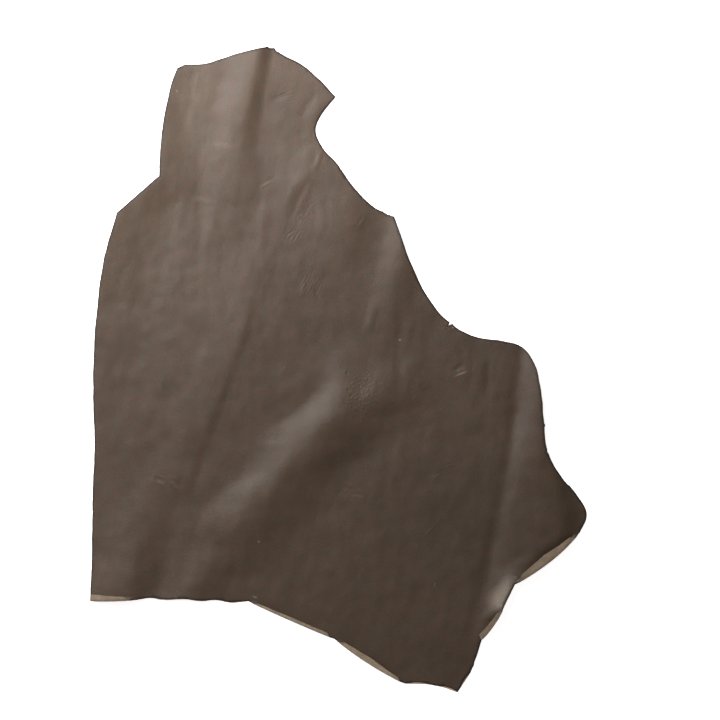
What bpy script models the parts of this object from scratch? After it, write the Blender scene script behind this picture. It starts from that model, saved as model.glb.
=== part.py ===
"""A piece of cowhide leather, lying grain side up on a level surface.

The hide is drawn as the flat pattern that it was cut to. Soft folds lift it off the surface, and
along five stretches of its lower edge it rolls up and over, so that its flesh side shows there.
Everywhere else its flesh side rests on the surface. The origin lies on the surface, under the
middle of the hide. X runs across the hide and Y from the belly end up to the neck.
"""

from collections import namedtuple
from math import ceil, hypot, radians

import bpy
import numpy as np
from mathutils import Vector
from mathutils.geometry import delaunay_2d_cdt, interpolate_bezier

MM = 0.001

# Driving dimensions, in millimetres
THICKNESS = 1.7
EDGE_STEP = 10.0
CURL_STEP = 7.0
FOLD_STEP = 16.0
FLAT_STEP = 30.0
ROLL_ROWS = 8
ROLL_ROW_LEAST = 1.5

# Shares of a flank's width at which a fold gets a row of points
FLANK_SHARES = (-1.0, -0.66, -0.33, 0.0, 0.33, 0.66, 1.0)

# How the cut edge passes each of its points
CORNER = "VECTOR"
SMOOTH = "AUTO"

# The cut edge seen from above, clockwise from the left end of the neck. The last column names the
# curl of the edge from that point to the next.
Spot = namedtuple("Spot", "x y bend curl", defaults=(None,))
OUTLINE = (
    Spot(-227.5, 425, CORNER),
    Spot(-216, 428.5, SMOOTH),
    Spot(-184, 432, SMOOTH),
    Spot(-165, 438, SMOOTH),
    Spot(-138, 446, SMOOTH),
    Spot(-99, 455, CORNER),
    Spot(-76, 442, SMOOTH),
    Spot(-54, 431, SMOOTH),
    Spot(-34, 415, SMOOTH),
    Spot(-4, 384, CORNER),
    Spot(-25, 357, SMOOTH),
    Spot(-32, 337, SMOOTH),
    Spot(-24, 315, SMOOTH),
    Spot(-1, 288, SMOOTH),
    Spot(20, 258, SMOOTH),
    Spot(48, 230, SMOOTH),
    Spot(79, 214, CORNER),
    Spot(90, 182, SMOOTH),
    Spot(103, 147, SMOOTH),
    Spot(134, 90, SMOOTH),
    Spot(158, 65, SMOOTH),
    Spot(189, 47, SMOOTH),
    Spot(229, 40, SMOOTH),
    Spot(256, 33, SMOOTH),
    Spot(273, 14, SMOOTH),
    Spot(284, -24, SMOOTH),
    Spot(289, -72, SMOOTH),
    Spot(294, -114, SMOOTH),
    Spot(313, -151, SMOOTH),
    Spot(337, -179, SMOOTH),
    Spot(350, -205, SMOOTH),
    Spot(340, -231, CORNER, "flank"),
    Spot(248, -303, CORNER),
    Spot(233, -334, CORNER, "notch"),
    Spot(202, -382, CORNER),
    Spot(195, -404, SMOOTH),
    Spot(185, -430, SMOOTH),
    Spot(168, -456, CORNER),
    Spot(138, -447, SMOOTH),
    Spot(93, -444, CORNER, "belly"),
    Spot(-6, -381, CORNER, "hem"),
    Spot(-127, -328, CORNER),
    Spot(-148, -330, SMOOTH),
    Spot(-175, -325.5, SMOOTH),
    Spot(-193, -326.7, SMOOTH),
    Spot(-219, -324.4, SMOOTH),
    Spot(-246, -325.8, SMOOTH),
    Spot(-267, -323, SMOOTH),
    Spot(-284, -325, CORNER, "tail"),
    Spot(-349.6, -327, CORNER),
    Spot(-348, -270, SMOOTH),
    Spot(-347, -171, SMOOTH),
    Spot(-344.5, -114, SMOOTH),
    Spot(-346.2, -44, SMOOTH),
    Spot(-345, 27, SMOOTH),
    Spot(-340, 90, SMOOTH),
    Spot(-330, 157, SMOOTH),
    Spot(-312, 220, CORNER),
    Spot(-253, 272, CORNER),
    Spot(-249, 333, SMOOTH),
    Spot(-240, 386, SMOOTH),
    Spot(-233, 412, SMOOTH),
)

# Stretches where the edge rolls up and over: the roll's radius, how far it turns in degrees, the
# straight flap past the roll, how much of the flap's width is gone at the stretch's ends, how much
# wider the flap is towards the stretch's end, how far the stretch bows outwards, and the shares of
# its length over which the curl grows at its start and dies away at its end.
Curl = namedtuple("Curl", "radius turn flap swell lean bow start end")
CURLS = {
    "flank": Curl(5.4, 165, flap=10.5, swell=0.75, lean=0.15, bow=6.0, start=0.14, end=0.14),
    "notch": Curl(4.5, 165, flap=4.4, swell=0.1, lean=0.6, bow=3.0, start=0.26, end=0.06),
    "belly": Curl(5.0, 165, flap=6.3, swell=0.85, lean=0.25, bow=3.5, start=0.12, end=0.14),
    "hem": Curl(4.0, 165, flap=2.6, swell=0.45, lean=-0.55, bow=1.0, start=0.10, end=0.12),
    "tail": Curl(5.5, 165, flap=4.2, swell=0.0, lean=0.65, bow=0.5, start=0.25, end=0.0),
}

# Folds, from the neck end down: where the crest runs, how high it stands, and how far its flanks
# reach to the left (-X) and to the right (+X).
Station = namedtuple("Station", "y x height left right")
FOLDS = {
    "neck_rim": (
        Station(455, -236, 1.2, 30, 40),
        Station(400, -252, 4.0, 30, 44),
        Station(345, -262, 6.5, 30, 48),
        Station(285, -272, 8.4, 30, 72),
        Station(235, -316, 8.6, 34, 86),
        Station(160, -345, 6.6, 34, 94),
        Station(70, -356, 3.6, 34, 86),
        Station(-20, -356, 1.4, 34, 80),
        Station(-110, -356, 0.0, 34, 70),
    ),
    "neck_ridge": (
        Station(475, -108, 5.8, 44, 22),
        Station(429, -118, 6.2, 46, 23),
        Station(380, -128, 5.8, 52, 25),
        Station(330, -137, 5.0, 58, 28),
        Station(267, -144, 3.5, 56, 42),
        Station(160, -158, 0.0, 52, 44),
    ),
    "shoulder_swell": (
        Station(340, -60, 0.0, 70, 60),
        Station(270, -10, 3.5, 90, 50),
        Station(222, 14, 5.0, 95, 44),
        Station(175, 10, 4.0, 90, 44),
        Station(90, -10, 0.0, 80, 50),
    ),
    "shoulder_ridge": (
        Station(230, 108, 6.5, 38, 50),
        Station(185, 98, 6.0, 38, 50),
        Station(142, 87, 4.8, 34, 46),
        Station(97, 73, 3.2, 31, 42),
        Station(25, 50, 0.0, 28, 40),
    ),
    "side_line": (
        Station(310, -32, 0.0, 40, 24),
        Station(262, -54, 1.7, 44, 28),
        Station(190, -86, 0.6, 46, 22),
        Station(120, -117, 0.8, 50, 17),
        Station(60, -136, 1.7, 60, 16),
        Station(-50, -175, 1.9, 60, 16),
        Station(-140, -208, 1.4, 54, 16),
        Station(-205, -230, 0.0, 46, 16),
    ),
    "side_swell": (
        Station(250, -76, 0.0, 130, 100),
        Station(150, -104, 1.6, 150, 110),
        Station(60, -132, 2.4, 160, 110),
        Station(-50, -168, 2.0, 150, 100),
        Station(-140, -202, 0.0, 120, 80),
    ),
    "middle_ridge": (
        Station(55, 14, 0.0, 34, 60),
        Station(30, 13, 1.4, 34, 70),
        Station(8, 12, 3.2, 36, 84),
        Station(-15, 9, 5.4, 40, 98),
        Station(-42, 4, 8.8, 50, 98),
        Station(-70, -7, 10.4, 62, 80),
        Station(-100, -32, 10.2, 64, 76),
        Station(-130, -61, 10.4, 54, 72),
        Station(-160, -84, 9.4, 56, 76),
        Station(-190, -109, 8.6, 66, 84),
        Station(-225, -133, 7.8, 70, 80),
        Station(-260, -136, 4.6, 70, 60),
        Station(-300, -150, 0.0, 60, 50),
    ),
    "middle_swell": (
        Station(20, 78, 0.0, 40, 70),
        Station(-15, 74, 2.8, 44, 70),
        Station(-42, 66, 3.6, 46, 70),
        Station(-72, 62, 1.4, 50, 66),
        Station(-98, 60, 0.0, 50, 60),
    ),
    "tail_ridge": (
        Station(-200, -192, 0.0, 60, 60),
        Station(-245, -194, 1.4, 62, 58),
        Station(-285, -197, 4.8, 58, 58),
        Station(-310, -204, 7.2, 56, 58),
        Station(-345, -226, 7.4, 50, 58),
    ),
    "flank_swell": (
        Station(60, 248, 1.2, 90, 16),
        Station(-43, 235, 1.6, 95, 18),
        Station(-116, 228, 1.9, 95, 18),
        Station(-184, 216, 2.0, 95, 18),
        Station(-237, 205, 2.0, 90, 18),
        Station(-291, 194, 2.2, 86, 20),
        Station(-339, 182, 2.2, 76, 22),
        Station(-440, 152, 0.8, 60, 26),
    ),
    "flank_ridge": (
        Station(60, 276, 3.5, 24, 30),
        Station(-37, 294, 9.5, 44, 34),
        Station(-100, 296, 9.4, 52, 40),
        Station(-171, 305, 9.2, 74, 37),
        Station(-225, 308, 8.8, 82, 38),
        Station(-290, 292, 4.5, 76, 40),
        Station(-350, 262, 2.0, 50, 40),
    ),
    "flank_step": (
        Station(40, 272, 0.0, 26, 40),
        Station(-43, 270, 2.6, 26, 50),
        Station(-120, 263, 5.0, 31, 60),
        Station(-180, 252, 3.8, 31, 66),
        Station(-226, 244, 3.6, 32, 66),
        Station(-280, 232, 3.8, 30, 60),
        Station(-330, 216, 2.8, 28, 50),
        Station(-400, 198, 1.4, 28, 40),
        Station(-440, 186, 0.0, 28, 40),
    ),
    "notch_rise": (
        Station(-262, 262, 0.0, 36, 40),
        Station(-292, 254, 3.6, 42, 50),
        Station(-325, 243, 5.6, 46, 50),
        Station(-350, 231, 4.6, 42, 40),
        Station(-378, 214, 2.0, 34, 30),
        Station(-398, 206, 0.0, 30, 26),
    ),
    "notch_lip": (
        Station(-278, 252, 0.0, 26, 40),
        Station(-300, 247, 3.6, 26, 40),
        Station(-318, 241, 6.6, 22, 30),
        Station(-334, 234, 7.2, 20, 24),
        Station(-348, 223, 3.4, 18, 20),
        Station(-358, 214, 0.0, 16, 14),
    ),
    "flank_lift": (
        Station(-222, 322, 0.0, 16, 16),
        Station(-245, 298, 1.2, 16, 16),
        Station(-270, 268, 1.0, 16, 16),
        Station(-292, 244, 0.0, 16, 16),
    ),
    "tail_swell": (
        Station(-120, -262, 0.0, 64, 44),
        Station(-190, -278, 2.4, 72, 50),
        Station(-260, -292, 7.0, 80, 56),
        Station(-300, -300, 10.4, 86, 58),
        Station(-345, -311, 12.6, 86, 66),
    ),
}


def clear_scene():
    """Empty the scene."""
    for thing in list(bpy.data.objects):
        bpy.data.objects.remove(thing, do_unlink=True)


def smooth_step(share):
    """Ease from 0 to 1 with level ends."""
    held = np.clip(share, 0.0, 1.0)
    return held * held * (3.0 - 2.0 * held)


def eased(y, knots, values):
    """Values at y that run from knot to knot without overshooting. Knots run downwards."""
    down = -np.array(knots, dtype=float)
    table = np.array(values, dtype=float)
    rates = np.diff(table) / np.diff(down)
    before, after = rates[:-1], rates[1:]
    level = before * after <= 0.0
    total = np.where(level, 1.0, before + after)
    slope = np.concatenate(([0.0], np.where(level, 0.0, 2.0 * before * after / total), [0.0]))
    return hermite(y, down, table, slope)[0]


def hermite(y, down, table, slope):
    """Values and slopes at y of the curve with the table's values and slopes at its knots."""
    held = np.clip(-y, down[0], down[-1])
    row = np.clip(np.searchsorted(down, held, side="right") - 1, 0, len(down) - 2)
    step = down[row + 1] - down[row]
    share = (held - down[row]) / step
    rise = table[row + 1] - table[row]
    in_slope = slope[row] * step
    out_slope = slope[row + 1] * step
    cubic = in_slope + out_slope - 2.0 * rise
    square = 3.0 * rise - 2.0 * in_slope - out_slope
    value = table[row] + share * (in_slope + share * (square + share * cubic))
    return value, (in_slope + share * (2.0 * square + share * 3.0 * cubic)) / step


def curved(y, knots, values):
    """Values at y on one smooth curve through the knots, and its slope. Knots run downwards."""
    down = -np.array(knots, dtype=float)
    table = np.array(values, dtype=float)
    return hermite(y, down, table, np.gradient(table, down))


def fold_height(x, y, stations):
    """Height of one fold over the points x, y."""
    knots = [station.y for station in stations]
    crest, tilt = curved(y, knots, [station.x for station in stations])
    height = eased(y, knots, [station.height for station in stations])
    left = eased(y, knots, [station.left for station in stations])
    right = eased(y, knots, [station.right for station in stations])
    across = (x - crest) / np.sqrt(1.0 + tilt * tilt)
    share = np.where(across < 0.0, -across / left, across / right)
    return height * 0.5 * (1.0 + np.cos(np.pi * np.minimum(share, 1.0)))


def lift(x, y):
    """Height of the flesh side over the surface, with all the folds together."""
    return sum(fold_height(x, y, stations) for stations in FOLDS.values())


class EdgeCurl:
    """One stretch of the edge that rolls up and over, between two corners of the outline."""

    def __init__(self, start, end, sizes):
        self.start = np.array((start.x, start.y), dtype=float)
        run = np.array((end.x, end.y), dtype=float) - self.start
        self.length = hypot(*run)
        self.along = run / self.length
        self.out = np.array((-self.along[1], self.along[0]))
        self.sizes = sizes

    def strength(self, t):
        """Share of the full curl at t, from 0 at the stretch's start to 1 at its end."""
        growing = smooth_step(t / self.sizes.start)
        fading = smooth_step((1.0 - t) / self.sizes.end) if self.sizes.end else 1.0
        return growing * fading

    def shape(self, t):
        """Turn, flap, roll line and cut line at t. The lines are offsets from the stretch."""
        strength = self.strength(t)
        turn = radians(self.sizes.turn) * strength
        place = 2.0 * t - 1.0
        width = (1.0 - self.sizes.swell * np.abs(place)) * (1.0 + self.sizes.lean * place)
        flap = self.sizes.flap * strength * width
        reach = self.sizes.radius * np.sin(np.minimum(turn, np.pi / 2))
        reach += flap * np.maximum(np.cos(turn), 0.0)
        roll_line = 4.0 * self.sizes.bow * t * (1.0 - t) - reach
        cut_line = roll_line + self.sizes.radius * turn + flap
        return turn, flap, roll_line, cut_line

    def flat(self, t, past_roll):
        """Place in the flat pattern of the points at t, past_roll beyond the roll line."""
        roll_line = self.shape(t)[2]
        steps = np.multiply.outer(t * self.length, self.along)
        return self.start + steps + np.multiply.outer(roll_line + past_roll, self.out)

    def rows(self):
        """Flat places of the stretch's cut line, and of the rows of points on its roll."""
        columns = ceil(self.length / CURL_STEP)
        t = np.arange(columns) / columns
        width = self.shape(t)[3] - self.shape(t)[2]
        cut = self.flat(t, width)
        inner = []
        for row in range(ROLL_ROWS):
            wide = width > ROLL_ROW_LEAST * ROLL_ROWS
            inner.extend(self.flat(t[wide], width[wide] * row / ROLL_ROWS))
        return cut, inner

    def bend(self, flat, laid):
        """Roll up the points of the flat pattern that lie past the roll line."""
        t = (flat - self.start) @ self.along / self.length
        turn, flap, roll_line, cut_line = self.shape(np.clip(t, 0.0, 1.0))
        past = (flat - self.start) @ self.out - roll_line
        rolled = (t >= 0.0) & (t <= 1.0) & (past > 0.0) & (past < cut_line - roll_line + CURL_STEP)
        angle = np.minimum(past / self.sizes.radius, turn)
        spare = past - self.sizes.radius * angle
        outwards = self.sizes.radius * np.sin(angle) + spare * np.cos(angle)
        upwards = self.sizes.radius * (1.0 - np.cos(angle)) + spare * np.sin(angle)
        root = self.start + np.multiply.outer(t * self.length, self.along)
        root = root + np.multiply.outer(roll_line, self.out)
        place = root + np.multiply.outer(outwards, self.out)
        laid[rolled, :2] = place[rolled]
        laid[rolled, 2] = lift(root[rolled, 0], root[rolled, 1]) + upwards[rolled]


def cut_edge():
    """The pattern's edge as a closed Bezier curve, with its corners sharp."""
    curve = bpy.data.curves.new("cut_edge", "CURVE")
    curve.dimensions = "2D"
    spline = curve.splines.new("BEZIER")
    spline.bezier_points.add(len(OUTLINE) - 1)
    spline.use_cyclic_u = True
    for knot, spot in zip(spline.bezier_points, OUTLINE):
        knot.co = (spot.x, spot.y, 0.0)
        knot.handle_left_type = spot.bend
        knot.handle_right_type = spot.bend
    guide = bpy.data.objects.new("cut_edge", curve)
    bpy.context.scene.collection.objects.link(guide)
    bpy.context.view_layer.update()
    return guide


def even_points(knot, following):
    """Points from one knot up to the next, about EDGE_STEP apart."""
    fine = interpolate_bezier(knot.co, knot.handle_right, following.handle_left, following.co, 24)
    line = np.array([point[:2] for point in fine])
    walked = np.concatenate(([0.0], np.cumsum(np.hypot(*np.diff(line, axis=0).T))))
    stops = np.linspace(0.0, walked[-1], max(2, round(walked[-1] / EDGE_STEP) + 1))[:-1]
    return np.column_stack([np.interp(stops, walked, line[:, axis]) for axis in (0, 1)])


def flat_pattern():
    """The flat pattern's edge, the points of its rolls, and its curls."""
    guide = cut_edge()
    knots = guide.data.splines[0].bezier_points
    edge = []
    rolls = []
    curls = []
    for index, spot in enumerate(OUTLINE):
        following = (index + 1) % len(OUTLINE)
        if spot.curl:
            curl = EdgeCurl(spot, OUTLINE[following], CURLS[spot.curl])
            cut, inner = curl.rows()
            edge.extend(cut)
            rolls.extend(inner)
            curls.append(curl)
        else:
            edge.extend(even_points(knots[index], knots[following]))
    bpy.data.objects.remove(guide)
    return np.array(edge), np.array(rolls), curls


def inside(points, edge):
    """Which of the points lie inside the closed edge."""
    ahead = np.roll(edge, -1, axis=0)
    result = np.zeros(len(points), dtype=bool)
    for (ax, ay), (bx, by) in zip(edge, ahead):
        if ay == by:
            continue
        between = (points[:, 1] < ay) != (points[:, 1] < by)
        cross = ax + (points[:, 1] - ay) * (bx - ax) / (by - ay)
        result ^= between & (points[:, 0] < cross)
    return result


def add_clear(kept, candidates, edge, clearance):
    """Add to the kept points those candidates inside the edge that are clear of all others."""
    for point in candidates[inside(candidates, edge)]:
        if np.min(np.hypot(*(kept - point).T)) > clearance:
            kept = np.vstack((kept, point))
    return kept


def fold_points():
    """Rows of points along each fold's crest and down its flanks."""
    points = []
    for stations in FOLDS.values():
        knots = [station.y for station in stations]
        count = ceil((knots[0] - knots[-1]) / FOLD_STEP)
        y = np.linspace(knots[0], knots[-1], count + 1)
        crest, tilt = curved(y, knots, [station.x for station in stations])
        left = eased(y, knots, [station.left for station in stations])
        right = eased(y, knots, [station.right for station in stations])
        for share in FLANK_SHARES:
            reach = share * (left if share < 0.0 else right) * np.sqrt(1.0 + tilt * tilt)
            points.append(np.column_stack((crest + reach, y)))
    return np.vstack(points)


def flat_points(edge):
    """A staggered grid of points over the whole hide."""
    low = edge.min(axis=0)
    high = edge.max(axis=0)
    rows = np.arange(low[1], high[1], FLAT_STEP * 3 ** 0.5 / 2)
    points = []
    for index, y in enumerate(rows):
        x = np.arange(low[0] + index % 2 * FLAT_STEP / 2, high[0], FLAT_STEP)
        points.append(np.column_stack((x, np.full(len(x), y))))
    return np.vstack(points)


def sheet_mesh():
    """The hide's flesh side: the pattern filled with triangles, folded, and its edges rolled."""
    edge, rolls, curls = flat_pattern()
    points = np.vstack((edge, rolls))
    points = add_clear(points, fold_points(), edge, FOLD_STEP * 0.45)
    points = add_clear(points, flat_points(edge), edge, FLAT_STEP * 0.6)
    outline = list(range(len(edge)))[::-1]
    filled = delaunay_2d_cdt([Vector(point) for point in points], [], [outline], 1, 1e-5)
    flat = np.array([tuple(point) for point in filled[0]])
    laid = np.column_stack((flat, lift(flat[:, 0], flat[:, 1])))
    for curl in curls:
        curl.bend(flat, laid)
    laid[:, :2] -= (laid[:, :2].min(axis=0) + laid[:, :2].max(axis=0)) / 2
    mesh = bpy.data.meshes.new("hide")
    mesh.from_pydata((laid * MM).tolist(), [], filled[2])
    mesh.shade_smooth()
    return mesh


def leather():
    """Dressed leather, a greyed dark brown with a low sheen."""
    material = bpy.data.materials.new("hide_leather")
    material.use_nodes = True
    surface = material.node_tree.nodes["Principled BSDF"]
    surface.inputs["Base Color"].default_value = (0.118, 0.083, 0.063, 1.0)
    surface.inputs["Roughness"].default_value = 0.5
    surface.inputs["Metallic"].default_value = 0.0
    return material


def main():
    """Model the hide."""
    clear_scene()
    collection = bpy.data.collections.new("cowhide")
    bpy.context.scene.collection.children.link(collection)
    hide = bpy.data.objects.new("hide", sheet_mesh())
    collection.objects.link(hide)
    hide.data.materials.append(leather())
    body = hide.modifiers.new("thickness", "SOLIDIFY")
    body.thickness = THICKNESS * MM
    body.offset = 1.0


main()
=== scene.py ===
"""Looks of a piece of cowhide leather that lies grain side up: the sheet with its two sides and its
cut edge, the fine nap of its curled edges, and the studio around it.

Sizes and places in the tables are millimetres on the flat pattern that the hide is cut to. X runs
across the hide and Y from the belly end up to the neck. The meshes are in metres, in the part's
own frame, with the surface that the hide lies on at z = 0.
"""

import logging
from dataclasses import dataclass, field
from enum import Enum, IntEnum
from math import ceil, cos, hypot, pi, radians, sin

import bpy
import numpy as np
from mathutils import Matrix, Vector, noise
from mathutils.geometry import delaunay_2d_cdt, interpolate_bezier
from mathutils.kdtree import KDTree


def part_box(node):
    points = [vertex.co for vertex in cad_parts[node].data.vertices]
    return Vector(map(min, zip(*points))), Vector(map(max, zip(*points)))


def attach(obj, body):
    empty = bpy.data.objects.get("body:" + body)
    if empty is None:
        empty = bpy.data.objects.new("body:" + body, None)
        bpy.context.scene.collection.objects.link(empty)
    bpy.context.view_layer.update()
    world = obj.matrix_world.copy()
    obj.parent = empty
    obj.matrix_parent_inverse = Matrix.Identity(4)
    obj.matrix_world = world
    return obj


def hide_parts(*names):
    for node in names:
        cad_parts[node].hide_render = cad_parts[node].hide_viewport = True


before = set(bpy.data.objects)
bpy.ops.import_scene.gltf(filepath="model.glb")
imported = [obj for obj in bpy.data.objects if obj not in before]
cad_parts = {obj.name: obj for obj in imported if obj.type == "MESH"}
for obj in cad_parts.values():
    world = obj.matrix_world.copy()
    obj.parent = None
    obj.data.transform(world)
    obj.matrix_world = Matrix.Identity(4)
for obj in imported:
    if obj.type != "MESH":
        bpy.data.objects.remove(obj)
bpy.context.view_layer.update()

LOG = logging.getLogger("cowhide")

Array = np.ndarray
Triple = tuple[float, float, float]
Colour = Triple

MM = 0.001
NODE = "hide"
BODY = "root"


class Bend(Enum):
    """How the cut edge passes one of its points."""

    CORNER = "VECTOR"
    SMOOTH = "AUTO"


class Side(IntEnum):
    """A face of the sheet, and with it the place of its finish among the hide's materials."""

    GRAIN = 0
    FLESH = 1
    CUT = 2


class Puckering(Enum):
    """What the grain does inside a puckered patch."""

    PEBBLES = "pebbles"
    WRINKLES = "wrinkles"


@dataclass(frozen=True)
class EdgePoint:
    """A point of the cut edge, how the edge passes it, and the curl from it to the next point."""

    x: float
    y: float
    bend: Bend = Bend.SMOOTH
    curl: str | None = None


@dataclass(frozen=True)
class CurlSizes:
    """Sizes of a stretch of edge that rolls up and over.

    Attributes:
        radius: radius of the roll.
        turn: how far it turns, in degrees.
        flap: straight flap past the roll.
        swell: how much narrower the flap is at the stretch's ends, as a share of it.
        lean: how much wider it is towards the stretch's end.
        bow: how far the stretch bows outwards.
        start: share of its length over which the curl grows.
        end: share of its length over which it dies away.
    """

    radius: float
    turn: float
    flap: float
    swell: float
    lean: float
    bow: float
    start: float
    end: float


@dataclass(frozen=True)
class Station:
    """One station of a fold: its crest's place and height, and its flanks' reach to -X and +X."""

    y: float
    x: float
    height: float
    left: float
    right: float


@dataclass(frozen=True)
class EdgeBump:
    """A small unevenness of the cut edge: its place, how far it stands out, and its reach."""

    x: float
    y: float
    rise: float
    reach: float


@dataclass(frozen=True)
class SlantedCut:
    """A stretch where the cut face slants and shows from above: its middle, reach and width."""

    x: float
    y: float
    reach: float
    width: float


CORNER = Bend.CORNER

# The cut edge, clockwise from the left end of the neck. It passes smoothly where no bend is named.
OUTLINE = (
    EdgePoint(-227.5, 425, CORNER),
    EdgePoint(-216, 428.5),
    EdgePoint(-184, 432),
    EdgePoint(-165, 438),
    EdgePoint(-138, 446),
    EdgePoint(-99, 455, CORNER),
    EdgePoint(-76, 442),
    EdgePoint(-54, 431),
    EdgePoint(-34, 415),
    EdgePoint(-4, 384, CORNER),
    EdgePoint(-25, 357),
    EdgePoint(-32, 337),
    EdgePoint(-24, 315),
    EdgePoint(-1, 288),
    EdgePoint(20, 258),
    EdgePoint(48, 230),
    EdgePoint(79, 214, CORNER),
    EdgePoint(90, 182),
    EdgePoint(103, 147),
    EdgePoint(134, 90),
    EdgePoint(158, 65),
    EdgePoint(189, 47),
    EdgePoint(229, 40),
    EdgePoint(256, 33),
    EdgePoint(273, 14),
    EdgePoint(284, -24),
    EdgePoint(289, -72),
    EdgePoint(294, -114),
    EdgePoint(313, -151),
    EdgePoint(337, -179),
    EdgePoint(350, -205),
    EdgePoint(340, -231, CORNER, "flank"),
    EdgePoint(248, -303, CORNER),
    EdgePoint(233, -334, CORNER, "notch"),
    EdgePoint(202, -382, CORNER),
    EdgePoint(195, -404),
    EdgePoint(185, -430),
    EdgePoint(168, -456, CORNER),
    EdgePoint(138, -447),
    EdgePoint(93, -444, CORNER, "belly"),
    EdgePoint(-6, -381, CORNER, "hem"),
    EdgePoint(-127, -328, CORNER),
    EdgePoint(-148, -330),
    EdgePoint(-175, -325.5),
    EdgePoint(-193, -326.7),
    EdgePoint(-219, -324.4),
    EdgePoint(-246, -325.8),
    EdgePoint(-267, -323),
    EdgePoint(-284, -325, CORNER, "tail"),
    EdgePoint(-349.6, -327, CORNER),
    EdgePoint(-348, -270),
    EdgePoint(-347, -171),
    EdgePoint(-344.5, -114),
    EdgePoint(-346.2, -44),
    EdgePoint(-345, 27),
    EdgePoint(-340, 90),
    EdgePoint(-330, 157),
    EdgePoint(-312, 220, CORNER),
    EdgePoint(-253, 272, CORNER),
    EdgePoint(-249, 333),
    EdgePoint(-240, 386),
    EdgePoint(-233, 412),
)

CURLS = {
    "flank": CurlSizes(5.4, 165, flap=10.5, swell=0.75, lean=0.15, bow=6.0, start=0.14, end=0.14),
    "notch": CurlSizes(4.5, 165, flap=4.4, swell=0.1, lean=0.6, bow=3.0, start=0.26, end=0.06),
    "belly": CurlSizes(5.0, 165, flap=6.3, swell=0.85, lean=0.25, bow=3.5, start=0.12, end=0.14),
    "hem": CurlSizes(4.0, 165, flap=2.6, swell=0.45, lean=-0.55, bow=1.0, start=0.10, end=0.12),
    "tail": CurlSizes(5.5, 165, flap=4.2, swell=0.0, lean=0.65, bow=0.5, start=0.25, end=0.0),
}

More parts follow.
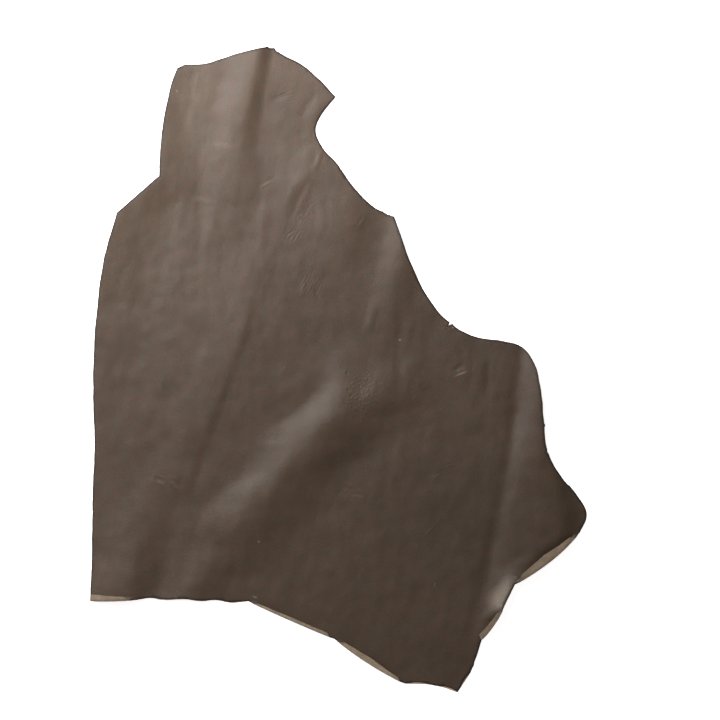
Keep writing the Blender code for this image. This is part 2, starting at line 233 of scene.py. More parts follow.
# The main folds, each from its neck end down
FOLDS = {
    "neck_rim": (
        Station(455, -236, 1.2, 30, 40),
        Station(400, -252, 4.0, 30, 44),
        Station(345, -262, 6.5, 30, 48),
        Station(285, -272, 8.4, 30, 72),
        Station(235, -316, 8.6, 34, 86),
        Station(160, -345, 6.6, 34, 94),
        Station(70, -356, 3.6, 34, 86),
        Station(-20, -356, 1.4, 34, 80),
        Station(-110, -356, 0.0, 34, 70),
    ),
    "neck_ridge": (
        Station(475, -108, 5.8, 44, 22),
        Station(429, -118, 6.2, 46, 23),
        Station(380, -128, 5.8, 52, 25),
        Station(330, -137, 5.0, 58, 28),
        Station(267, -144, 3.5, 56, 42),
        Station(160, -158, 0.0, 52, 44),
    ),
    "shoulder_swell": (
        Station(340, -60, 0.0, 70, 60),
        Station(270, -10, 3.5, 90, 50),
        Station(222, 14, 5.0, 95, 44),
        Station(175, 10, 4.0, 90, 44),
        Station(90, -10, 0.0, 80, 50),
    ),
    "shoulder_ridge": (
        Station(230, 108, 6.5, 38, 50),
        Station(185, 98, 6.0, 38, 50),
        Station(142, 87, 4.8, 34, 46),
        Station(97, 73, 3.2, 31, 42),
        Station(25, 50, 0.0, 28, 40),
    ),
    "side_line": (
        Station(310, -32, 0.0, 40, 24),
        Station(262, -54, 1.7, 44, 28),
        Station(190, -86, 0.6, 46, 22),
        Station(120, -117, 0.8, 50, 17),
        Station(60, -136, 1.7, 60, 16),
        Station(-50, -175, 1.9, 60, 16),
        Station(-140, -208, 1.4, 54, 16),
        Station(-205, -230, 0.0, 46, 16),
    ),
    "side_swell": (
        Station(250, -76, 0.0, 130, 100),
        Station(150, -104, 1.6, 150, 110),
        Station(60, -132, 2.4, 160, 110),
        Station(-50, -168, 2.0, 150, 100),
        Station(-140, -202, 0.0, 120, 80),
    ),
    "middle_ridge": (
        Station(55, 14, 0.0, 34, 60),
        Station(30, 13, 1.4, 34, 70),
        Station(8, 12, 3.2, 36, 84),
        Station(-15, 9, 5.4, 40, 98),
        Station(-42, 4, 8.8, 50, 98),
        Station(-70, -7, 10.4, 62, 80),
        Station(-100, -32, 10.2, 64, 76),
        Station(-130, -61, 10.4, 54, 72),
        Station(-160, -84, 9.4, 56, 76),
        Station(-190, -109, 8.6, 66, 84),
        Station(-225, -133, 7.8, 70, 80),
        Station(-260, -136, 4.6, 70, 60),
        Station(-300, -150, 0.0, 60, 50),
    ),
    "middle_swell": (
        Station(20, 78, 0.0, 40, 70),
        Station(-15, 74, 2.8, 44, 70),
        Station(-42, 66, 3.6, 46, 70),
        Station(-72, 62, 1.4, 50, 66),
        Station(-98, 60, 0.0, 50, 60),
    ),
    "tail_ridge": (
        Station(-200, -192, 0.0, 60, 60),
        Station(-245, -194, 1.4, 62, 58),
        Station(-285, -197, 4.8, 58, 58),
        Station(-310, -204, 7.2, 56, 58),
        Station(-345, -226, 7.4, 50, 58),
    ),
    "flank_swell": (
        Station(60, 248, 1.2, 90, 16),
        Station(-43, 235, 1.6, 95, 18),
        Station(-116, 228, 1.9, 95, 18),
        Station(-184, 216, 2.0, 95, 18),
        Station(-237, 205, 2.0, 90, 18),
        Station(-291, 194, 2.2, 86, 20),
        Station(-339, 182, 2.2, 76, 22),
        Station(-440, 152, 0.8, 60, 26),
    ),
    "flank_ridge": (
        Station(60, 276, 3.5, 24, 30),
        Station(-37, 294, 9.5, 44, 34),
        Station(-100, 296, 9.4, 52, 40),
        Station(-171, 305, 9.2, 74, 37),
        Station(-225, 308, 8.8, 82, 38),
        Station(-290, 292, 4.5, 76, 40),
        Station(-350, 262, 2.0, 50, 40),
    ),
    "flank_step": (
        Station(40, 272, 0.0, 26, 40),
        Station(-43, 270, 2.6, 26, 50),
        Station(-120, 263, 5.0, 31, 60),
        Station(-180, 252, 3.8, 31, 66),
        Station(-226, 244, 3.6, 32, 66),
        Station(-280, 232, 3.8, 30, 60),
        Station(-330, 216, 2.8, 28, 50),
        Station(-400, 198, 1.4, 28, 40),
        Station(-440, 186, 0.0, 28, 40),
    ),
    "notch_rise": (
        Station(-262, 262, 0.0, 36, 40),
        Station(-292, 254, 3.6, 42, 50),
        Station(-325, 243, 5.6, 46, 50),
        Station(-350, 231, 4.6, 42, 40),
        Station(-378, 214, 2.0, 34, 30),
        Station(-398, 206, 0.0, 30, 26),
    ),
    "notch_lip": (
        Station(-278, 252, 0.0, 26, 40),
        Station(-300, 247, 3.6, 26, 40),
        Station(-318, 241, 6.6, 22, 30),
        Station(-334, 234, 7.2, 20, 24),
        Station(-348, 223, 3.4, 18, 20),
        Station(-358, 214, 0.0, 16, 14),
    ),
    "flank_lift": (
        Station(-222, 322, 0.0, 16, 16),
        Station(-245, 298, 1.2, 16, 16),
        Station(-270, 268, 1.0, 16, 16),
        Station(-292, 244, 0.0, 16, 16),
    ),
    "tail_swell": (
        Station(-120, -262, 0.0, 64, 44),
        Station(-190, -278, 2.4, 72, 50),
        Station(-260, -292, 7.0, 80, 56),
        Station(-300, -300, 10.4, 86, 58),
        Station(-345, -311, 12.6, 86, 66),
    ),
}

# Small unevennesses that the knife and the hands left on the edge
EDGE_BUMPS = (
    EdgeBump(-217, 427, 1.2, 8.0),
    EdgeBump(-97.5, 454, -1.2, 2.2),
    EdgeBump(-91, 452, 3.0, 5.5),
    EdgeBump(62, 222, 0.9, 2.5),
    EdgeBump(69, 218, -0.8, 2.5),
    EdgeBump(77, 214, 0.9, 3.0),
    EdgeBump(158, 65, -4.6, 1.5),
    EdgeBump(161, 63, 1.8, 1.4),
    EdgeBump(289, -79, 1.3, 3.0),
    EdgeBump(294, -116, -1.0, 4.0),
    EdgeBump(326, -165, 0.9, 6.0),
    EdgeBump(13, -421, -1.8, 4.0),
    EdgeBump(46, -441, 1.2, 5.0),
    EdgeBump(-20, -388, 1.4, 2.0),
    EdgeBump(190, -418, 0.8, 5.0),
)

# Where the cut face slants outwards, so that it shows from above
SLANTED_CUTS = (
    SlantedCut(112, -444, 30, 3.2),
    SlantedCut(156, -450, 22, 3.2),
    SlantedCut(180, -440, 18, 2.6),
    SlantedCut(-140, -329, 26, 2.0),
    SlantedCut(-240, -325, 60, 1.3),
    SlantedCut(160, 64, 3, 1.6),
)


def smooth_step(share: Array) -> Array:
    """Ease from 0 to 1 with level ends."""
    held = np.clip(share, 0.0, 1.0)
    return held * held * (3.0 - 2.0 * held)


def bell(share: Array) -> Array:
    """A soft hump that is 1 at 0 and ends level at -1 and 1."""
    return 0.5 * (1.0 + np.cos(pi * np.clip(share, -1.0, 1.0)))


def tapered(share: Array, part: float) -> Array:
    """Grow from 0 to 1 over the first part of a stroke, and die away over its last part."""
    return smooth_step(share / part) * smooth_step((1.0 - share) / part)


def away_from(flat: Array, spot: object) -> Array:
    """Distance of flat places from a spot that has an x and a y."""
    return np.hypot(*(flat - (spot.x, spot.y)).T)


def turned(flat: Array, angle: float) -> tuple[Array, Array]:
    """How far flat places lie along a direction, in degrees from X, and to the left of it."""
    run = np.array((cos(radians(angle)), sin(radians(angle))))
    return flat @ run, flat @ np.array((-run[1], run[0]))


def placed(name: str, data: bpy.types.ID) -> bpy.types.Object:
    """Make an object of some data and link it to the scene.

    Args:
        name: name of the object.
        data: its mesh, curve, light or camera.

    Returns:
        The object.
    """
    thing = bpy.data.objects.new(name, data)
    bpy.context.scene.collection.objects.link(thing)
    return thing


def eased(y: Array, knots: list[float], values: list[float]) -> Array:
    """Run a value from knot to knot without overshooting.

    Args:
        y: places at which the value is wanted.
        knots: places of the known values, running downwards.
        values: the known values.

    Returns:
        The value at each place.
    """
    down = -np.array(knots, dtype=float)
    table = np.array(values, dtype=float)
    rates = np.diff(table) / np.diff(down)
    before, after = rates[:-1], rates[1:]
    level = before * after <= 0.0
    total = np.where(level, 1.0, before + after)
    slope = np.concatenate(([0.0], np.where(level, 0.0, 2.0 * before * after / total), [0.0]))
    return hermite(y, down, table, slope)[0]


def hermite(y: Array, down: Array, table: Array, slope: Array) -> tuple[Array, Array]:
    """Draw the curve that has known values and slopes at its knots.

    Args:
        y: places at which the curve is wanted.
        down: places of the knots, each with its sign changed so that they rise.
        table: the curve's value at each knot.
        slope: the curve's slope at each knot.

    Returns:
        The curve's value and its slope at each place.
    """
    held = np.clip(-y, down[0], down[-1])
    row = np.clip(np.searchsorted(down, held, side="right") - 1, 0, len(down) - 2)
    step = down[row + 1] - down[row]
    share = (held - down[row]) / step
    rise = table[row + 1] - table[row]
    in_slope = slope[row] * step
    out_slope = slope[row + 1] * step
    cubic = in_slope + out_slope - 2.0 * rise
    square = 3.0 * rise - 2.0 * in_slope - out_slope
    value = table[row] + share * (in_slope + share * (square + share * cubic))
    return value, (in_slope + share * (2.0 * square + share * 3.0 * cubic)) / step


def curved(y: Array, knots: list[float], values: list[float]) -> tuple[Array, Array]:
    """Draw one smooth curve through known values.

    Args:
        y: places at which the curve is wanted.
        knots: places of the known values, running downwards.
        values: the known values.

    Returns:
        The curve's value and its slope at each place.
    """
    down = -np.array(knots, dtype=float)
    table = np.array(values, dtype=float)
    return hermite(y, down, table, np.gradient(table, down))


def noise_at(places: Array, cell: float, pattern: float) -> Array:
    """Smooth noise on the flat pattern.

    Args:
        places: rows of x and y.
        cell: size of the noise's cells.
        pattern: which of the many like patterns is read.

    Returns:
        A value from -1 to 1 for each row.
    """
    return np.array([noise.noise(Vector((x / cell, y / cell, pattern))) for x, y in places])


def staggered_grid(low: Array, high: Array, step: float) -> Array:
    """Fill a rectangle with rows of points, every other row half a step on.

    Args:
        low: lowest corner.
        high: highest corner.
        step: distance between neighbours.

    Returns:
        Rows of x and y.
    """
    rows = np.arange(low[1], high[1], step * sin(pi / 3))
    columns = np.arange(low[0], high[0], step)
    x = columns[None, :] + (np.arange(len(rows)) % 2 * step / 2)[:, None]
    y = np.repeat(rows[:, None], len(columns), axis=1)
    return np.column_stack((x.ravel(), y.ravel()))


def inside(places: Array, ring: Array) -> Array:
    """Find which places a closed ring goes around.

    Args:
        places: rows of x and y.
        ring: the ring's points, in order.

    Returns:
        True or false for each row.
    """
    ahead = np.roll(ring, -1, axis=0)
    result = np.zeros(len(places), dtype=bool)
    for (ax, ay), (bx, by) in zip(ring, ahead):
        between = (places[:, 1] < ay) != (places[:, 1] < by)
        rows = np.nonzero(between)[0]
        cross = ax + (places[rows, 1] - ay) * (bx - ax) / (by - ay if by != ay else 1.0)
        result[rows] ^= places[rows, 0] < cross
    return result


def search_tree(places: Array) -> KDTree:
    """Make a search tree of flat places."""
    tree = KDTree(len(places))
    for index, (x, y) in enumerate(places):
        tree.insert((x, y, 0.0), index)
    tree.balance()
    return tree


def clear_of(kept: Array, candidates: Array, clearance: float) -> Array:
    """Add candidates that are clear of the places already kept.

    Args:
        kept: rows of x and y.
        candidates: more rows, which are clear of each other.
        clearance: least distance to a kept place.

    Returns:
        The kept rows and then the added ones.
    """
    tree = search_tree(kept)
    free = [tree.find((x, y, 0.0))[2] > clearance for x, y in candidates]
    return np.vstack((kept, candidates[np.array(free, dtype=bool)]))


class EdgeCurl:
    """One stretch of the edge that rolls up and over, between two corners of the outline."""

    ROW_STEP = 1.6
    ROWS_BEFORE = 3.0
    MARGIN = 7.0
    OPEN_END = 1.08

    def __init__(self, start: EdgePoint, end: EdgePoint, sizes: CurlSizes) -> None:
        """Lay out the stretch.

        Args:
            start: corner at which it starts.
            end: corner at which it ends.
            sizes: sizes of its roll.
        """
        self.start = np.array((start.x, start.y), dtype=float)
        run = np.array((end.x, end.y), dtype=float) - self.start
        self.length = hypot(*run)
        self.along = run / self.length
        self.out = np.array((-self.along[1], self.along[0]))
        self.sizes = sizes
        self.last = 1.0 if sizes.end else self.OPEN_END

    def strength(self, t: Array) -> Array:
        """Share of the full curl at t, from 0 at the stretch's start to 1 at its end."""
        growing = smooth_step(t / self.sizes.start)
        fading = smooth_step((1.0 - t) / self.sizes.end) if self.sizes.end else 1.0
        return growing * fading

    def shape(self, t: Array) -> tuple[Array, Array, Array]:
        """Work out the roll's section.

        Args:
            t: shares of the stretch's length.

        Returns:
            The turn, and the offsets of the roll line and of the cut line from the stretch.
        """
        strength = self.strength(t)
        turn = radians(self.sizes.turn) * strength
        place = 2.0 * t - 1.0
        width = (1.0 - self.sizes.swell * np.abs(place)) * (1.0 + self.sizes.lean * place)
        flap = self.sizes.flap * strength * width
        reach = self.sizes.radius * np.sin(np.minimum(turn, pi / 2))
        reach += flap * np.maximum(np.cos(turn), 0.0)
        roll_line = 4.0 * self.sizes.bow * t * (1.0 - t) - reach
        return turn, roll_line, roll_line + self.sizes.radius * turn + flap

    def flat(self, t: Array, past_roll: Array) -> Array:
        """Places on the flat pattern at t, past_roll beyond the roll line."""
        steps = np.multiply.outer(t * self.length, self.along)
        return self.start + steps + np.multiply.outer(self.shape(t)[1] + past_roll, self.out)

    def cut(self, step: float) -> Array:
        """Places along the stretch's cut line, about one step apart."""
        columns = ceil(self.length / step)
        t = np.arange(columns) / columns
        return self.flat(t, self.shape(t)[2] - self.shape(t)[1])

    def rows(self, step: float) -> Array:
        """Set out rows of places on the roll, from just before it to the cut line.

        Args:
            step: distance between the columns.

        Returns:
            Rows of x and y.
        """
        columns = ceil(self.length / step)
        t = (np.arange(columns) + 0.5) / columns
        width = self.shape(t)[2] - self.shape(t)[1]
        found = []
        for past in np.arange(-self.ROWS_BEFORE * self.ROW_STEP, width.max(), self.ROW_STEP):
            wide = past < width - self.ROW_STEP
            found.append(self.flat(t[wide], np.full(wide.sum(), past)))
        return np.vstack(found)

    def bend(self, flat: Array, laid: Array, lift: "Folds") -> None:
        """Roll up the places that lie past the roll line.

        Args:
            flat: rows of x and y on the flat pattern.
            laid: the same places in space, which this changes.
            lift: the folds that carry the roll.
        """
        t = (flat - self.start) @ self.along / self.length
        turn, roll_line, cut_line = self.shape(np.clip(t, 0.0, 1.0))
        past = (flat - self.start) @ self.out - roll_line
        near = (past > 0.0) & (past < cut_line - roll_line + self.MARGIN)
        rolled = (t >= 0.0) & (t <= self.last) & near
        angle = np.minimum(past / self.sizes.radius, turn)
        spare = past - self.sizes.radius * angle
        outwards = self.sizes.radius * np.sin(angle) + spare * np.cos(angle)
        upwards = self.sizes.radius * (1.0 - np.cos(angle)) + spare * np.sin(angle)
        root = self.start + np.multiply.outer(t * self.length, self.along)
        root = root + np.multiply.outer(roll_line, self.out)
        place = root + np.multiply.outer(outwards, self.out)
        laid[rolled, :2] = place[rolled]
        laid[rolled, 2] = lift.height(root[rolled]) + upwards[rolled]


@dataclass(frozen=True)
class Folds:
    """The soft folds that lift the hide off the surface.

    Attributes:
        folds: the stations of each fold.
    """

    folds: dict[str, tuple[Station, ...]]

    def one(self, flat: Array, stations: tuple[Station, ...]) -> Array:
        """Work out one fold's height.

        Args:
            flat: rows of x and y.
            stations: the fold's stations.

        Returns:
            A height for each row.
        """
        x, y = flat.T
        knots = [station.y for station in stations]
        crest, tilt = curved(y, knots, [station.x for station in stations])
        height = eased(y, knots, [station.height for station in stations])
        left = eased(y, knots, [station.left for station in stations])
        right = eased(y, knots, [station.right for station in stations])
        across = (x - crest) / np.sqrt(1.0 + tilt * tilt)
        return height * bell(np.where(across < 0.0, across / left, across / right))

    def height(self, flat: Array) -> Array:
        """Height of the flesh side over the surface, with all the folds together."""
        return sum(self.one(flat, stations) for stations in self.folds.values())


@dataclass
class CutPattern:
    """The flat pattern: its closed edge, the edge's outward directions, and its curls.

    Attributes:
        points: the outline's points, clockwise.
        curl_sizes: sizes of the curls that the points name.
        bumps: small unevennesses of the edge.
        step: distance between the edge's points.
        fine_step: the same beside a bump.
        wave: how far the hand-cut edge wavers.
        wave_length: size of a waver.
    """

    points: tuple[EdgePoint, ...]
    curl_sizes: dict[str, CurlSizes]
    bumps: tuple[EdgeBump, ...]
    step: float = 2.4
    fine_step: float = 0.7
    wave: float = 0.5
    wave_length: float = 15.0
    ring: Array = field(init=False)
    out: Array = field(init=False)
    curls: list[EdgeCurl] = field(init=False)

    BEZIER_STEPS = 24
    WAVE_PATTERN = 3.7
    SMALL_WAVE = 0.4
    SMALL_LENGTH = 0.25

    def __post_init__(self) -> None:
        """Draw the edge, refine it beside the bumps, and make it uneven."""
        self.curls = []
        self.ring = self.refined(self.drawn())
        self.out = self.outwards()
        self.ring = self.ring + self.out * self.unevenness()[:, None]

    def drawn(self) -> Array:
        """Draw the even edge.

        Returns:
            Rows of x and y, clockwise.
        """
        curve = bpy.data.curves.new("cut_edge", "CURVE")
        curve.dimensions = "2D"
        spline = curve.splines.new("BEZIER")
        spline.bezier_points.add(len(self.points) - 1)
        spline.use_cyclic_u = True
        for knot, point in zip(spline.bezier_points, self.points):
            knot.co = (point.x, point.y, 0.0)
            knot.handle_left_type = point.bend.value
            knot.handle_right_type = point.bend.value
        guide = placed("cut_edge", curve)
        bpy.context.view_layer.update()
        edge = []
        for index, point in enumerate(self.points):
            following = (index + 1) % len(self.points)
            if point.curl:
                curl = EdgeCurl(point, self.points[following], self.curl_sizes[point.curl])
                self.curls.append(curl)
                edge.append(curl.cut(self.step))
            else:
                knots = spline.bezier_points
                edge.append(self.even_points(knots[index], knots[following]))
        bpy.data.objects.remove(guide)
        bpy.data.curves.remove(curve)
        return np.vstack(edge)

    def even_points(
        self, knot: bpy.types.BezierSplinePoint, following: bpy.types.BezierSplinePoint
    ) -> Array:
        """Space points evenly from one knot up to the next.

        Args:
            knot: knot at which the stretch starts.
            following: knot at which it ends.

        Returns:
            Rows of x and y, without the following knot.
        """
        fine = interpolate_bezier(
            knot.co, knot.handle_right, following.handle_left, following.co, self.BEZIER_STEPS
        )
        line = np.array([point[:2] for point in fine])
        walked = np.concatenate(([0.0], np.cumsum(np.hypot(*np.diff(line, axis=0).T))))
        count = max(2, round(walked[-1] / self.step) + 1)
        stops = np.linspace(0.0, walked[-1], count)[:-1]
        return np.column_stack([np.interp(stops, walked, line[:, axis]) for axis in (0, 1)])

    def refined(self, ring: Array) -> Array:
        """Put more points into the ring beside each bump.

        Args:
            ring: the even edge.

        Returns:
            The same edge with the added points.
        """
        pieces = []
        for here, ahead in zip(ring, np.roll(ring, -1, axis=0)):
            middle = (here + ahead) / 2
            near = any(
                hypot(middle[0] - bump.x, middle[1] - bump.y) < bump.reach + self.step
                for bump in self.bumps
            )
            count = ceil(hypot(*(ahead - here)) / self.fine_step) if near else 1
            shares = np.arange(count)[:, None] / count
            pieces.append(here + (ahead - here) * shares)
        return np.vstack(pieces)

    def outwards(self) -> Array:
        """Unit directions out of the pattern, across the ring."""
        run = np.roll(self.ring, -1, axis=0) - np.roll(self.ring, 1, axis=0)
        run /= np.hypot(*run.T)[:, None]
        return np.column_stack((-run[:, 1], run[:, 0]))

    def unevenness(self) -> Array:
        """How far each point of the ring stands out of the even edge."""
        rise = self.wave * noise_at(self.ring, self.wave_length, self.WAVE_PATTERN)
        small = noise_at(self.ring, self.wave_length * self.SMALL_LENGTH, self.WAVE_PATTERN)
        rise += self.SMALL_WAVE * self.wave * small
        for bump in self.bumps:
            rise += bump.rise * bell(away_from(self.ring, bump) / bump.reach)
        return rise

    def edge_distance(self, flat: Array) -> tuple[Array, Array]:
        """Measure how far places lie from the cut edge.

        Args:
            flat: rows of x and y.

        Returns:
            The distance and the ring's nearest point, for each row.
        """
        tree = search_tree(self.ring)
        nearest = np.array([tree.find((x, y, 0.0))[1] for x, y in flat])
        distance = np.full(len(flat), np.inf)
        for step in (-1, 0):
            start = self.ring[(nearest + step) % len(self.ring)]
            run = self.ring[(nearest + step + 1) % len(self.ring)] - start
            share = np.clip(((flat - start) * run).sum(axis=1) / (run * run).sum(axis=1), 0, 1)
            away = np.hypot(*(flat - start - run * share[:, None]).T)
            distance = np.minimum(distance, away)
        return distance, nearest


@dataclass(frozen=True)
class Stroke:
    """A straight stroke on the grain: its two ends and the reach of its flanks."""

    x0: float
    y0: float
    x1: float
    y1: float
    width: float

    @property
    def length(self) -> float:
        """Length between the two ends."""
        return hypot(self.x1 - self.x0, self.y1 - self.y0)

    def across(self, flat: Array) -> tuple[Array, Array]:
        """Place points against the stroke.

        Args:
            flat: rows of x and y.

        Returns:
            The distance to one side of its line, and the share along it, for each row.
        """
        length = self.length
        run = np.array((self.x1 - self.x0, self.y1 - self.y0)) / length
        away = flat - (self.x0, self.y0)
        return away @ np.array((-run[1], run[0])), away @ run / length

    def distance(self, flat: Array) -> Array:
        """Distance from the stroke itself, round its ends too."""
        side, share = self.across(flat)
        return np.hypot(side, (share - np.clip(share, 0.0, 1.0)) * self.length)


@dataclass(frozen=True)
class Crease(Stroke):
    """A soft ridge, or where its height is below 0 a trough, that dies away at both ends."""

    height: float

    TAPER = 0.4
    WANDER = 0.22
    BENDS = 5.0

    def height_at(self, flat: Array) -> Array:
        """Height that the crease adds at flat places."""
        side, share = self.across(flat)
        held = np.clip(share, 0.0, 1.0)
        wander = self.WANDER * self.width * np.sin(self.BENDS * held + self.x0)
        return self.height * tapered(held, self.TAPER) * bell((side - wander) / self.width)


@dataclass(frozen=True)
class Mark(Stroke):
    """A scar, scratch, pit or speck.

    Attributes:
        depth: how deep it is sunk, below 0 where it is raised.
        lip: height of the raised lips along it.
        tone: how much paler it is, below 0 where it is darker.
    """

    depth: float
    lip: float = 0.0
    tone: float = 0.0

    LIP_PLACE = 1.5
    TAPER = 0.45
    SPECK = 2.0
    NEAR = 4.0
    WANDER = 0.45
    WANDER_CELL = 7.0

    def trace(self, flat: Array) -> tuple[Array, Array]:
        """Follow the mark's uneven line.

        Args:
            flat: rows of x and y.

        Returns:
            The distance from the line, and the mark's strength, for each row.
        """
        side, share = self.across(flat)
        held = np.clip(share, 0.0, 1.0)
        away = np.hypot(side, (share - held) * self.length)
        if self.length < self.SPECK:
            return away, np.ones(len(flat))
        rows = np.nonzero(away < self.NEAR * self.width)[0]
        wander = np.zeros(len(flat))
        wander[rows] = noise_at(flat[rows], self.WANDER_CELL, self.x0) * self.WANDER * self.width
        past_end = (share - held) * self.length
        return np.hypot(side + wander, past_end), tapered(held, self.TAPER)

    def height_at(self, flat: Array) -> Array:
        """Height that the mark adds at flat places."""
        away, ends = self.trace(flat)
        lips = bell((away - self.LIP_PLACE * self.width) / self.width)
        return ends * (self.lip * lips - self.depth * bell(away / self.width))

    def tone_at(self, flat: Array) -> Array:
        """How much paler or darker the mark makes flat places."""
        away, ends = self.trace(flat)
        return self.tone * ends * bell(away / self.width)


@dataclass(frozen=True)
class SoftSpot:
    """A soft darker or paler area.

    Attributes:
        x: its middle.
        y: its middle.
        reach: distance from there at which it has died away.
        strength: how much darker its middle is, or paler where the number is below 0.
    """

    x: float
    y: float
    reach: float
    strength: float

    def tone_at(self, flat: Array) -> Array:
        """How much paler it makes flat places, or darker where the number is below 0."""
        return -self.strength * bell(away_from(flat, self) / self.reach)


@dataclass(frozen=True)
class Patch:
    """A patch of puckered grain.

    Attributes:
        x: its middle.
        y: its middle.
        half_wide: half its width.
        half_long: half its length.
        lean: angle of its length from Y, in degrees, clockwise.
        kind: what the grain does there.
        depth: depth of the puckers.
        cell: size of a pebble, or pitch of the wrinkles.
        run: direction in which the wrinkles run, in degrees from X.
    """

    x: float
    y: float
    half_wide: float
    half_long: float
    lean: float
    kind: Puckering
    depth: float
    cell: float
    run: float = 0.0

    FADE = 1.5
    STRETCH = 1.5
    CREASE_SHARE = 0.42
    PEBBLE_MEAN = 0.7
    DRIFT = 0.6
    DRIFT_CELLS = 1.6
    WRINKLED = 0.7
    PATTERN = 5.1

    def strength(self, flat: Array) -> Array:
        """Share of the full puckering, 1 in the middle and 0 outside."""
        wide, long = turned(flat - (self.x, self.y), -self.lean)
        share = np.hypot(wide / self.half_wide, long / self.half_long)
        return smooth_step((1.0 - share) * self.FADE)

    def height_at(self, flat: Array) -> Array:
        """Height that the puckers add.

        Args:
            flat: rows of x and y.

        Returns:
            A height for each row.
        """
        strength = self.strength(flat)
        height = np.zeros(len(flat))
        rows = np.nonzero(strength > 0.0)[0]
        form = self.pebbles if self.kind is Puckering.PEBBLES else self.wrinkles
        height[rows] = self.depth * strength[rows] * form(flat[rows])
        return height

    def pebbles(self, flat: Array) -> Array:
        """Low rounded pebbles with creases between them.

        Args:
            flat: rows of x and y inside the patch.

        Returns:
            A share of the depth for each row, with a mean near 0.
        """
        along, aside = turned(flat, self.run)
        rise = []
        for u, v in zip(along / (self.cell * self.STRETCH), aside / self.cell):
            near, second = noise.voronoi(Vector((u, v, self.PATTERN)))[0][:2]
            rise.append(min((second - near) / self.CREASE_SHARE, 1.0))
        return smooth_step(np.array(rise)) - self.PEBBLE_MEAN

    def wrinkles(self, flat: Array) -> Array:
        """Short wrinkles side by side.

        Args:
            flat: rows of x and y inside the patch.

        Returns:
            A share of the depth for each row, with a mean near 0.
        """
        along, aside = turned(flat, self.run)
        drift_cell = self.cell * self.DRIFT_CELLS
        drift = noise_at(np.column_stack((along / 2, aside)), drift_cell, self.PATTERN)
        length = noise_at(np.column_stack((along / 3, aside)), self.cell, self.PATTERN + 1)
        waves = np.sin(2 * pi * (aside / self.cell + self.DRIFT * drift))
        return waves * smooth_step(self.WRINKLED + length)


# Soft ridges and troughs that run down from the neck and across the hide
CREASES = (
    Crease(-199, 436, -212, 372, 9, -0.45),
    Crease(-207, 430, -222, 340, 9, 0.35),
    Crease(-211, 290, -230, 100, 15, 0.65),
    Crease(-190, 320, -205, 90, 13, -0.50),
    Crease(-169, 300, -181, 130, 17, 0.60),
    Crease(-93, 160, -115, 70, 9, 0.50),
    Crease(-98, 246, -112, 160, 12, 0.45),
    Crease(-8, 386, -48, 347, 11, 0.60),
    Crease(-22, 392, -60, 352, 9, -0.50),
    Crease(-25, 312, -35, 272, 6, 0.60),
    Crease(-10, 305, -2, 284, 9, -0.50),
    Crease(-36, 282, -72, 198, 7, -0.45),
    Crease(-48, 280, -82, 214, 9, 0.40),
    Crease(-26, 252, -24, 178, 11, 0.55),
    Crease(-46, 130, -54, 98, 6, 0.40),
    Crease(-34, 122, -28, 92, 6, -0.40),
    Crease(50, 106, 39, 42, 11, 0.75),
    Crease(91, 104, 81, -50, 11, -0.38),
    Crease(103, 72, 96, 24, 6, 0.20),
    Crease(113, 86, 104, 30, 8, -0.30),
    Crease(113, -14, 107, -56, 12, 0.40),
    Crease(52, -14, 38, -62, 13, 0.35),
    Crease(-240, 6, -245, -92, 10, -0.30),
    Crease(-279, 216, -311, 50, 16, 0.40),
    Crease(-251, 172, -266, 50, 13, -0.35),
    Crease(-329, -262, -337, -322, 10, 0.55),
    Crease(-267, -236, -280, -320, 14, -0.55),
    Crease(-229, -270, -245, -322, 16, 0.60),
    Crease(95, -40, 87, -146, 14, 0.35),
    Crease(140, -40, 128, -170, 16, 0.30),
    Crease(200, 36, 192, -60, 12, 0.35),
    Crease(216, 36, 208, -70, 8, -0.30),
    Crease(60, -170, 40, -300, 18, 0.30),
    Crease(5, -190, -30, -310, 16, -0.30),
)

